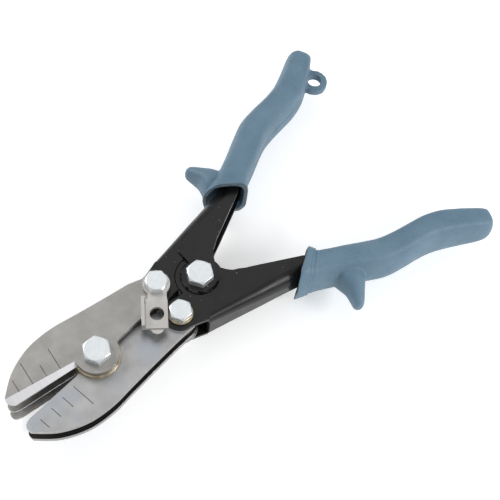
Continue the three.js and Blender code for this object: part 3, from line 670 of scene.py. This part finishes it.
def blade(node, side, face, mark_lengths=()):
    """One blade on the +X or -X side (side 1 or -1) whose bevel faces up or down (face 1 or -1)."""
    outline = [
        *BLADE_TIP,
        *spline(BLADE_BACK, 6),
        *arc(LINK_X, LINK_Y, LOWER_TAIL_RADIUS if side > 0 else UPPER_TAIL_RADIUS, 0, 180),
        *BLADE_NECK,
        *arc(0, 0, BOSS_RADIUS, 99.7, 276),
    ]
    body = plate(outline, -BLADE / 2, BLADE / 2)
    cut(
        body,
        hole(0, 0, QUARTER_BOLT["shank"] + RUNNING_FIT),
        hole(LINK_X, LINK_Y, LINK_BOLT["shank"] + RUNNING_FIT),
        bevel_cutter(),
    )
    if face < 0:
        body.data.transform(FLIPPED)
        body.data.flip_normals()
    if mark_lengths:
        cut(body, *mark_cutters(mark_lengths))
    if mark_lengths and face > 0:
        cut(body, run_out_cutter())
    clean(body)
    steel_material = LOWER_STEEL if side > 0 else UPPER_STEEL
    # the last slot is painted shade on the faces that look at the next blade
    paint(
        body, steel_material, GROUND, BRIGHT_EDGE, MARK, SHEARED, PAINTED_INNER_SHADE,
        choose=lambda polygon: blade_slot(polygon, node),
    )
    turn = Matrix.Translation((0, 0, BLADE_LEVEL[node]))
    if side < 0:
        turn = turn @ MIRRORED
    place(body, node + "_ground", node, turn)
    soften(body, 0.16, 2, edge_slot=EDGE)


def blade_slot(polygon, node):
    """Slot of a blade's face: flat, bevel, crimping edge, graduation, sheared rim or inner side in
    painted shade.
    """
    upright = abs(polygon.normal.z)
    if 0.2 < upright < 0.98:
        return BEVEL
    if upright < 0.2:
        on_edge = polygon.normal.x < -0.9 and polygon.center.y < BEVEL_LOW[1][1]
        return EDGE if on_edge else RIM
    below_top = BLADE / 2 - polygon.center.z
    if upright > 0.98 and abs(below_top - MARK_DEPTH) < MARK_DEPTH / 4:
        return GROOVE
    # faces that look at the next blade take the painted shade
    return INNER if polygon.normal.z * PAINTED_SHADE_SIDE.get(node, 0) > 0 else FLAT


def bevel_cutter():
    """Wedge that grinds the bevel from the blade's throat out past its tip."""
    top = BLADE / 2
    floor = top - BEVEL_DEPTH

    def at(line, y):
        (x0, y0), (x1, y1) = line
        return x1 + (x0 - x1) * (y - y1) / (y0 - y1)

    def ring(y):
        low, high = at(BEVEL_LOW, y), at(BEVEL_HIGH, y)
        run = (high - low) / BEVEL_DEPTH
        return [
            (low, y, floor), (high + run, y, top + 1),
            (-BOSS_RADIUS, y, top + 1), (-BOSS_RADIUS, y, floor),
        ]

    return loft([ring(BEVEL_LOW[1][1]), ring(2 * BEVEL_LOW[0][1])])


def run_out_cutter():
    """Shallow round spot where the grinding wheel left the bevel."""
    x, y, radius = RUN_OUT
    return disc(x, y, radius, BLADE / 2 - MARK_DEPTH / 2, BLADE)


def mark_cutters(lengths):
    """Grooves square to the bevel's upper edge, one graduation apart."""
    (x0, y0), (x1, y1) = BEVEL_HIGH
    along = Vector((x1 - x0, y1 - y0)).normalized()
    made = []
    for i, length in enumerate(lengths):
        start = Vector(FIRST_MARK) + along * (i * MARK_SPACING)
        out = Vector((along.y, -along.x)) * length
        half = along * (MARK_WIDTH / 2)
        corners = [start - half, start + out - half, start + out + half, start + half]
        made.append(plate([tuple(c) for c in corners], BLADE / 2 - MARK_DEPTH, BLADE))
    return made


# ---------------------------------------------------------------- handles


def channel_ring(station, bend):
    """C-shaped section from the web to the flanges' free edges."""
    web, edge = Vector(station[0]), Vector(station[1])
    across = edge - web
    width = across.length
    across.normalize()

    def upper(radius, height):
        return [(width, height), *arc(bend, CHANNEL_TOP - bend, radius, 90, 180, 5)]

    outside = upper(bend, CHANNEL_TOP)
    inside = upper(bend - SHEET, FLANGE_INSIDE)
    outline = [*outside, *[(u, -z) for u, z in reversed(outside)]]
    outline += [*[(u, -z) for u, z in inside], *reversed(inside)]
    return [(web.x + across.x * u, web.y + across.y * u, z) for u, z in outline]


def tang_stations():
    """The channel's stations inside the grip, from the grip's own sections."""
    made = []
    for i in TANG_STATIONS:
        inner, outer = Vector(GRIP_BODY[i][0]), Vector(GRIP_BODY[i][1])
        made.append((tuple(inner.lerp(outer, TANG_OUTER)), tuple(inner.lerp(outer, TANG_INNER))))
    return made


def channel_rings():
    """Sections from the web's front end to the end in the grip; the bend opens out on the way."""
    last = len(CHANNEL_FREE) - 1
    rows = [
        (*web, *edge, FRONT_BEND_RADIUS + (REAR_BEND_RADIUS - FRONT_BEND_RADIUS) * i / last)
        for i, (web, edge) in enumerate(CHANNEL_FREE)
    ]
    rings = [channel_ring((row[:2], row[2:4]), row[4]) for row in spline_rows(rows, 4)]
    return rings + [channel_ring(station, REAR_BEND_RADIUS) for station in tang_stations()]


def flange_shape(beside_pivot):
    eye = arc(LINK_X, LINK_Y, LINK_EYE_RADIUS, 0, -180)
    return [(16.9, 43), *eye, (1.4, 45), (1.1, 46.6), *beside_pivot, *FLANGE_REAR]


def sector(radius, start, end):
    return [(0, PIVOT_Y), *arc(0, PIVOT_Y, radius, start, end)]


def lobe_flange():
    """Upper flange, with the round dish about the handle bolt."""
    rise = [i / 8 for i in range(9)]
    slope = [
        (DISH_FLOOR_RADIUS + (DISH_RIM_RADIUS - DISH_FLOOR_RADIUS) * t, (1 - math.cos(math.pi * t)) / 2)
        for t in rise
    ]
    profile = [
        (0, LOBE_INSIDE),
        *[(r, LOBE_INSIDE + LOBE_DROP * h) for r, h in slope],
        (LOBE_RADIUS, FLANGE_INSIDE),
        (LOBE_RADIUS, CHANNEL_TOP),
        *[(r, LOBE_TOP + LOBE_DROP * h) for r, h in reversed(slope)],
        (0, LOBE_TOP),
    ]
    dish = cut(
        lathe(profile, 0, PIVOT_Y),
        plate(sector(2 * LOBE_RADIUS, 38, 184), LOBE_TOP, 2 * CHANNEL_TOP),
        solver="MANIFOLD",
    )
    well = disc(0, PIVOT_Y, (DISH_RIM_RADIUS + LOBE_RADIUS) / 2, -THROUGH, THROUGH)
    flat = cut(plate(flange_shape(LOBE_SIDE), FLANGE_INSIDE, CHANNEL_TOP), well)
    web = plate(LOBE_WEB, (LOBE_INSIDE + FLANGE_INSIDE) / 2, LOBE_TOP)
    return join(flat, dish, web, solver="MANIFOLD")


def tongue_flange():
    """Lower flange, with the raised tongue that laps over the other handle's dish."""
    flat = cut(
        plate(flange_shape(TONGUE_SIDE), FLANGE_INSIDE, CHANNEL_TOP),
        disc(0, PIVOT_Y, LOBE_CLEARANCE_RADIUS, -THROUGH, THROUGH),
        plate(sector(JOGGLE_RADIUS, 2, 90), -THROUGH, THROUGH),
    )
    tongue = plate(
        [
            (NOSE_RADIUS, PIVOT_Y + 0.8),
            (JOGGLE_RADIUS, PIVOT_Y + 0.8),
            *arc(0, PIVOT_Y, JOGGLE_RADIUS + 0.8, 5, 64),
            (3.4, 68.5),
            *arc(0, PIVOT_Y, NOSE_RADIUS, 125, 360),
        ],
        TONGUE_TOP - SHEET,
        TONGUE_TOP,
    )
    return join(flat, tongue)


def channel_slot(polygon):
    """The upright rim of the tongue's nose is rubbed; everything else keeps its coating."""
    x, y, z = polygon.center
    from_pivot = math.hypot(x, y - PIVOT_Y)
    on_nose = abs(from_pivot - NOSE_RADIUS) < 0.05 and z < -FLANGE_INSIDE and y < PIVOT_Y
    return 2 if on_nose and abs(polygon.normal.z) < 0.2 else 0


def channel(node, pivot_fit, turn):
    body = loft(channel_rings())
    lobe = lobe_flange()
    tongue = tongue_flange()
    tongue.data.transform(FLIPPED)
    tongue.data.flip_normals()
    join(body, lobe, tongue, solver="MANIFOLD")
    cut(
        body,
        hole(LINK_X, LINK_Y, LINK_BOLT["shank"] + RUNNING_FIT),
        hole(0, PIVOT_Y, QUARTER_BOLT["shank"] + pivot_fit),
        solver="MANIFOLD",
    )
    clean(body)
    paint(body, BLACK, WORN_BLACK, RUBBED, choose=channel_slot)
    place(body, node + "_pressed", node, turn)
    soften(body, 0.22, 2, edge_slot=1)


# ---------------------------------------------------------------- grips


def section_ring(inner, outer, half_height, sides, grow=0.0, squareness=None):
    """Super-ellipse in plan between two points, squarer on the inner side than on the outer."""
    inner, outer = Vector(inner), Vector(outer)
    half = (outer - inner) / 2
    centre = (inner + outer) / 2
    half = half.normalized() * (half.length + grow)

    def power(value, exponent):
        return math.copysign(abs(value) ** (2 / exponent), value)

    made = []
    for i in range(sides):
        a = 2 * math.pi * (i + 0.5) / sides
        share = (1 + math.cos(a)) / 2
        exponent = squareness or INNER_SQUARENESS + (OUTER_SQUARENESS - INNER_SQUARENESS) * share
        p = centre + half * power(math.cos(a), exponent)
        made.append((p.x, p.y, (half_height + grow) * power(math.sin(a), exponent)))
    return made


def pocket():
    """Space inside a grip for its channel, with chamfered corners at the web."""
    stations = [*CHANNEL_FREE[-3:], *tang_stations()]
    web, edge = stations[-1]
    stations.append(tuple((x + POCKET_GAP, y + 2 * POCKET_GAP) for x, y in (web, edge)))
    rings = []
    height = CHANNEL_TOP + POCKET_GAP
    for web, edge in stations:
        a, b = Vector(web), Vector(edge)
        out = (b - a).normalized() * POCKET_GAP
        a, b = a - out, b + out
        c = a + out.normalized() * POCKET_CORNER
        low = height - POCKET_CORNER
        upper = [(a.x, a.y, low), (c.x, c.y, height), (b.x, b.y, height)]
        rings.append(upper + [(x, y, -z) for x, y, z in reversed(upper)])
    return loft(rings, "pocket")


def horn(guard):
    """Finger guard, from its root in the grip to its tip."""
    root, tip = Vector(guard[0]), Vector(guard[1])
    along = tip - root
    side = Vector((-along.y, along.x)).normalized() * HORN_HALF_WIDTH
    rings = []
    for t, back, front in spline(HORN_TAPER, 3):
        centre = root + along * t
        a, b = centre - side * front, centre + side * back
        rings.append(section_ring(a, b, HORN_HALF_HEIGHT * back, 40, -GRIP_SKIN, HORN_SQUARENESS))
    return loft(rings, "horn")


def remesh(obj, voxel, smoothing):
    modifier = obj.modifiers.new("remesh", "REMESH")
    modifier.mode = "VOXEL"
    modifier.voxel_size = voxel
    smooth = obj.modifiers.new("smooth", "SMOOTH")
    smooth.factor = 0.5
    smooth.iterations = smoothing
    return bake(obj)


def grip_stations(end_shift):
    """Grip sections as rows; the last few lean over by end_shift."""
    rows = []
    for i, (inner, outer, height) in enumerate(GRIP_BODY):
        lean = Vector(end_shift) * min(max((i - LEAN_FROM) / LEAN_SECTIONS, 0), 1)
        rows.append((*(Vector(inner) + lean), *(Vector(outer) + lean), height))
    return rows


def grip(node, guard, loop, turn, end_shift):
    stations = grip_stations(end_shift)
    rings = [
        section_ring((a, b), (c, d), h, FINE, -GRIP_SKIN)
        for a, b, c, d, h in spline_rows(stations, SPLINE_STEPS)
    ]
    body = loft(rings, "grip")
    join(body, horn(guard))
    if loop:
        x, y = LOOP_AT
        join(body, disc(x, y, LOOP_RING, -LOOP_HALF, LOOP_HALF), plate(LOOP_ROOT, -LOOP_HALF, LOOP_HALF))
    remesh(body, 0.5, 6)
    join(body, collar(), solver="MANIFOLD")
    cut(body, pocket(), mouth_hollow(), seam(stations), solver="MANIFOLD")
    if loop:
        cut(body, hole(*LOOP_AT, LOOP_HOLE), solver="MANIFOLD")
    paint(body, VINYL, RESIDUE, choose=mouth_slot)
    place(body, node + "_dipped", node, turn)
    shade_smooth(body, 40)


def mouth_hollow():
    """Cone inside the mouth that leaves the lip thin."""
    (a0, b0), (a1, b1) = GRIP_MOUTH, COLLAR_END
    rings = []
    for t, grow in MOUTH_HOLLOW:
        inner = Vector(a0).lerp(Vector(a1), t)
        outer = Vector(b0).lerp(Vector(b1), t)
        rings.append(section_ring(inner, outer, GRIP_HALF_HEIGHT, FINE, grow))
    return loft(rings, "hollow")


def seam(stations):
    """Thin groove of the mould's parting line along the inner side."""
    rings = []
    for ax, ay, bx, by, _ in spline_rows(stations[:-3], SPLINE_STEPS):
        inner, outer = Vector((ax, ay)), Vector((bx, by))
        across = (outer - inner).normalized()
        low, high = inner - across, inner + across * SEAM_DEPTH
        rings.append([
            (low.x, low.y, SEAM_HALF), (high.x, high.y, SEAM_HALF),
            (high.x, high.y, -SEAM_HALF), (low.x, low.y, -SEAM_HALF),
        ])
    return loft(rings, "seam")


def mouth_slot(polygon):
    """Residue on the faces that look out of the grip's mouth."""
    (ax, ay), (bx, by) = GRIP_MOUTH
    axis = Vector((by - ay, ax - bx, 0)).normalized()
    depth = (polygon.center - Vector((ax, ay, 0))).dot(axis)
    return 1 if depth > -RESIDUE_DEPTH and polygon.normal.dot(axis) > 0.3 else 0


def collar():
    """Lip of the grip's mouth: a band with a slightly ragged edge, stepping down to the grip."""
    (a0, b0), (a1, b1) = GRIP_MOUTH, COLLAR_END
    along = (Vector(a1) + Vector(b1) - Vector(a0) - Vector(b0)) / 2
    rings = []
    for t, grow, ragged in COLLAR_STEPS:
        inner = Vector(a0).lerp(Vector(a1), t)
        outer = Vector(b0).lerp(Vector(b1), t)
        made = []
        for i, (x, y, z) in enumerate(section_ring(inner, outer, GRIP_HALF_HEIGHT, FINE, grow)):
            turn = 2 * math.pi * i / FINE
            wave = 0.06 * (1 + math.sin(3 * turn + 1)) + 0.03 * (1 + math.sin(8 * turn))
            made.append((x + along.x * wave * ragged, y + along.y * wave * ragged, z))
        rings.append(made)
    return loft(rings, "collar")


# ---------------------------------------------------------------- fasteners


def hex_prism(flats, low, high, both_ends):
    """Hexagon with turned corners on its top, or on both ends."""
    corner = flats / math.sqrt(3)
    ring = [
        (corner * math.sin(math.radians(60 * i)), corner * math.cos(math.radians(60 * i)))
        for i in range(6)
    ]
    face = flats / 2 - 0.2
    fall = (corner - face) * 0.5
    wide = corner + fall
    profile = [
        (0, low), (face if both_ends else wide, low), (wide, low + 2 * fall),
        (wide, high - 2 * fall), (face, high), (0, high),
    ]
    return boolean(plate(ring, low, high), [lathe(profile, 0, 0)], "INTERSECT")


def bolt(node, size, head_under, end, turn, x, y):
    """Hexagon bolt; turn is the head's angle in degrees."""
    body = hex_prism(size["flats"], head_under, head_under + size["head"], False)
    shank = lathe(
        [(0, end), (size["shank"] - 0.4, end), (size["shank"], end + 0.4),
         (size["shank"], head_under + 1), (0, head_under + 1)], 0, 0,
    )
    join(body, shank)
    finish_fastener(body, node, turn, x, y)


def nut(node, size, top, x, y):
    body = hex_prism(size["flats"], top - size["nut"], top, True)
    cut(body, hole(0, 0, size["shank"] + GAP))
    finish_fastener(body, node, 0, x, y)


def finish_fastener(body, node, turn, x, y):
    clean(body)
    paint(body, ZINC)
    rotation = Matrix.Rotation(math.radians(turn), 4, "Z")
    place(body, node + "_plated", node, Matrix.Translation((x, y, 0)) @ rotation)
    soften(body, 0.16, 3)


def ring(node, outer, bore, height, x, y, z):
    """Washer, shim, spacer or sleeve with rounded outer edges."""
    finish = LOWER_STEEL if "shim" in node else YELLOW_ZINC
    soft = min(0.2, height / 3)
    half = height / 2
    body = lathe(
        [(0, -half), (outer - soft, -half), (outer - soft / 3, -half + soft / 3), (outer, -half + soft),
         (outer, half - soft), (outer - soft / 3, half - soft / 3), (outer - soft, half), (0, half)],
        0, 0,
    )
    cut(body, hole(0, 0, bore))
    paint(body, finish)
    place(body, node + "_turned", node, Matrix.Translation((x, y, z)))
    shade_smooth(body, 50)


# ---------------------------------------------------------------- latch and spring


def latch():
    floor = STACK_TOP + GAP
    body = plate([*arc(0, 0, LATCH_EYE_RADIUS, 47, 321), *LATCH_OUTLINE], floor, floor + LATCH)
    join(
        body,
        plate(LATCH_TAB, floor, floor + LATCH_TAB_HEIGHT),
        disc(LATCH_END - LATCH_NOSE_INSET, 0, LATCH_NOSE_RADIUS, floor, floor + LATCH / 2),
    )
    cut(
        body,
        hole(LATCH_FINGER_AT, 0, LATCH_FINGER_RADIUS),
        hole(0, 0, LINK_BOLT["shank"] + RUNNING_FIT),
        plate(LATCH_CREASE, floor + LATCH_CREASE_FLOOR, floor + LATCH_TAB_HEIGHT + 1),
    )
    clean(body)
    paint(body, LATCH_STEEL, BRIGHT_EDGE)
    turn = Matrix.Translation((-LINK_X, LINK_Y, 0)) @ Matrix.Rotation(math.radians(LATCH_ANGLE), 4, "Z")
    place(body, "latch_plate_stamped", "latch_plate", turn)
    soften(body, 0.2, 2, edge_slot=1)


def spring_path():
    """Centre line of the wire: a leg to each channel's web and close turns between them."""
    start = -math.pi / 5
    points = []
    for k in range(SPRING_STEPS + 1):
        t = k / SPRING_STEPS
        coil = min(max((t - SPRING_LEG) / (1 - 2 * SPRING_LEG), 0), 1)
        angle = start + coil * (2 * math.pi * SPRING_TURNS + math.pi - 2 * start)
        z = (coil - 0.5) * SPRING_PITCH * SPRING_TURNS
        on_coil = Vector((SPRING_RADIUS * math.cos(angle), PIVOT_Y + SPRING_RADIUS * math.sin(angle), z))
        on_leg = max(1 - t / SPRING_LEG, (t - 1) / SPRING_LEG + 1, 0)
        x, y = SPRING_LEG_END
        points.append(on_coil.lerp(Vector((x if t < 0.5 else -x, y, z)), on_leg))
    return points


def spring():
    points = spring_path()
    rings = []
    for k, point in enumerate(points):
        ahead = points[min(k + 1, SPRING_STEPS)] - points[max(k - 1, 0)]
        side = ahead.cross(Vector((0, 0, 1))).normalized()
        up = side.cross(ahead).normalized()
        rings.append([
            tuple(point + (side * math.cos(a) + up * math.sin(a)) * SPRING_WIRE)
            for a in (2 * math.pi * i / SPRING_SIDES for i in range(SPRING_SIDES))
        ])
    body = loft(rings, "spring")
    paint(body, SPRING_STEEL)
    place(body, "return_spring_wound", "return_spring")
    shade_smooth(body)


# ---------------------------------------------------------------- assembly


def build_blades():
    blade("upper_blade_top", -1, 1, UPPER_MARK_LENGTHS)
    blade("upper_blade_middle", -1, -1)
    blade("upper_blade_bottom", -1, -1)
    blade("lower_blade_top", 1, -1, LOWER_MARK_LENGTHS)
    blade("lower_blade_bottom", 1, -1)


def build_handles():
    identity = Matrix.Identity(4)
    channel("lower_handle_channel", OPEN_PIVOT_FIT, identity)
    channel("upper_handle_channel", RUNNING_FIT, TURNED_OVER)
    grip("lower_grip", LOWER_HORN, False, identity, (0, 0))
    grip("upper_grip", UPPER_HORN, True, TURNED_OVER, UPPER_END_SHIFT)


QUARTER_BORE = QUARTER_BOLT["shank"] + RUNNING_FIT
LINK_BORE = LINK_BOLT["shank"] + RUNNING_FIT


def build_jaw_pivot():
    under = STACK_TOP + GAP
    bolt("jaw_bolt", QUARTER_BOLT, under, -REST_HEIGHT, 0.7, 0, 0)
    nut("jaw_nut", QUARTER_BOLT, -under, 0, 0)
    thickness = (PITCH - BLADE - 3 * GAP) / 2
    offset = (thickness + GAP) / 2
    levels = [g * PITCH + s * offset for g in (1.5, 0.5, -0.5, -1.5) for s in (1, -1)]
    for i, z in enumerate(levels):
        ring(f"jaw_washer_{i + 1}", JAW_WASHER_RADIUS, QUARTER_BORE, thickness, 0, 0, z)


def build_upper_link():
    head = STACK_TOP + LATCH + 2 * GAP
    nut_top = -STACK_TOP - GAP
    end = nut_top - LINK_BOLT["nut"] - THREAD_END / 2
    bolt("upper_link_bolt", LINK_BOLT, head, end, 23.3, -LINK_X, LINK_Y)
    nut("upper_link_nut", LINK_BOLT, nut_top, -LINK_X, LINK_Y)
    height = FLANGE_INSIDE - BLADE / 2 - 2 * GAP
    level = (FLANGE_INSIDE + BLADE / 2) / 2
    for name, z in (("upper_link_spacer_top", level), ("upper_link_spacer_bottom", -level)):
        ring(name, LINK_SPACER_RADIUS, LINK_BORE, height, -LINK_X, LINK_Y, z)


def build_lower_link():
    under = CHANNEL_TOP + LINK_WASHER + 2 * GAP
    end = -under - LINK_BOLT["nut"] - THREAD_END / 2
    bolt("lower_link_bolt", LINK_BOLT, under, end, 0.6, LINK_X, LINK_Y)
    nut("lower_link_nut", LINK_BOLT, -under, LINK_X, LINK_Y)
    blade_top = PITCH + BLADE / 2
    shim = FLANGE_INSIDE - blade_top - 2 * GAP
    shim_level = (blade_top + FLANGE_INSIDE) / 2
    washer_level = CHANNEL_TOP + GAP + LINK_WASHER / 2
    for name, outer, high, z in (
        ("lower_link_washer_top", LINK_WASHER_RADIUS, LINK_WASHER, washer_level),
        ("lower_link_washer_bottom", LINK_WASHER_RADIUS, LINK_WASHER, -washer_level),
        ("lower_link_shim_top", LINK_SHIM_RADIUS, shim, shim_level),
        ("lower_link_shim_bottom", LINK_SHIM_RADIUS, shim, -shim_level),
        ("lower_link_spacer", LINK_SPACER_RADIUS, 2 * PITCH - BLADE - 2 * GAP, 0),
    ):
        ring(name, outer, LINK_BORE, high, LINK_X, LINK_Y, z)


def build_handle_pivot():
    under = TONGUE_TOP + GAP
    end = -under - QUARTER_BOLT["nut"] - THREAD_END
    bolt("handle_bolt", QUARTER_BOLT, under, end, 2.1, 0, PIVOT_Y)
    nut("handle_nut", QUARTER_BOLT, -under, 0, PIVOT_Y)
    ring("handle_sleeve", SLEEVE_RADIUS, QUARTER_BORE, 2 * LOBE_INSIDE - 4 * GAP, 0, PIVOT_Y, 0)


build_blades()
build_handles()
build_jaw_pivot()
build_upper_link()
build_lower_link()
build_handle_pivot()
latch()
spring()


# ---------------------------------------------------------------- floor, light and camera, metres


FLOOR_GLOW = 0.42
FLOOR_HALF = 2.5
FLOOR_DROP = 0.0002
TOOL_MIDDLE = (0, 0.07, 0)


def make_floor():
    corners = [(x * FLOOR_HALF, y * FLOOR_HALF, 0) for x, y in ((-1, -1), (1, -1), (1, 1), (-1, 1))]
    floor = new_object("floor", corners, [(0, 1, 2, 3)])
    floor.location.z = -FLOOR_DROP
    shader = Shader("pale_floor", (0.85, 0.85, 0.85), 0.9, Emission_Strength=FLOOR_GLOW)
    shader.set("Emission Color", (1, 1, 1, 1))
    floor.data.materials.append(shader.material)


def area_light(name, position, size, power):
    """Round light that points at the middle of the tool."""
    light = bpy.data.lights.new(name, "AREA")
    light.shape = "DISK"
    light.size = size
    light.energy = power
    obj = bpy.data.objects.new(name, light)
    obj.location = position
    obj.rotation_mode = "QUATERNION"
    obj.rotation_quaternion = (Vector(TOOL_MIDDLE) - Vector(position)).to_track_quat("-Z", "Y")
    bpy.context.scene.collection.objects.link(obj)


def make_world():
    world = bpy.data.worlds.new("studio")
    world.use_nodes = True
    background = world.node_tree.nodes["Background"]
    background.inputs["Color"].default_value = (0.97, 0.985, 1.0, 1)
    background.inputs["Strength"].default_value = 0.5
    bpy.context.scene.world = world


def make_camera():
    """Camera over the blades' side of the tool; its axes are the columns of its matrix."""
    right = Vector((0.67336, 0.7346, 0.08339))
    up = Vector((-0.67442, 0.56412, 0.47638))
    back = Vector((0.3029, -0.37701, 0.87528))
    camera = bpy.data.objects.new("camera", bpy.data.cameras.new("camera"))
    camera.matrix_world = Matrix((
        (right.x, up.x, back.x, 0.14535),
        (right.y, up.y, back.y, -0.09191),
        (right.z, up.z, back.z, 0.4305),
        (0, 0, 0, 1),
    ))
    camera.data.lens = 74.46
    camera.data.sensor_width = 36
    camera.data.clip_start = 0.01
    camera.data.clip_end = 20
    bpy.context.scene.collection.objects.link(camera)
    bpy.context.scene.camera = camera


make_floor()
make_world()
area_light("overhead", (-0.42, 0.6, 1.22), 1.1, 1.2)
area_light("key", (-0.72, -0.12, 0.6), 0.4, 3.8)
area_light("side", (0.72, 0.43, 0.51), 0.35, 4.4)
make_camera()
bpy.context.scene.view_settings.view_transform = "Standard"
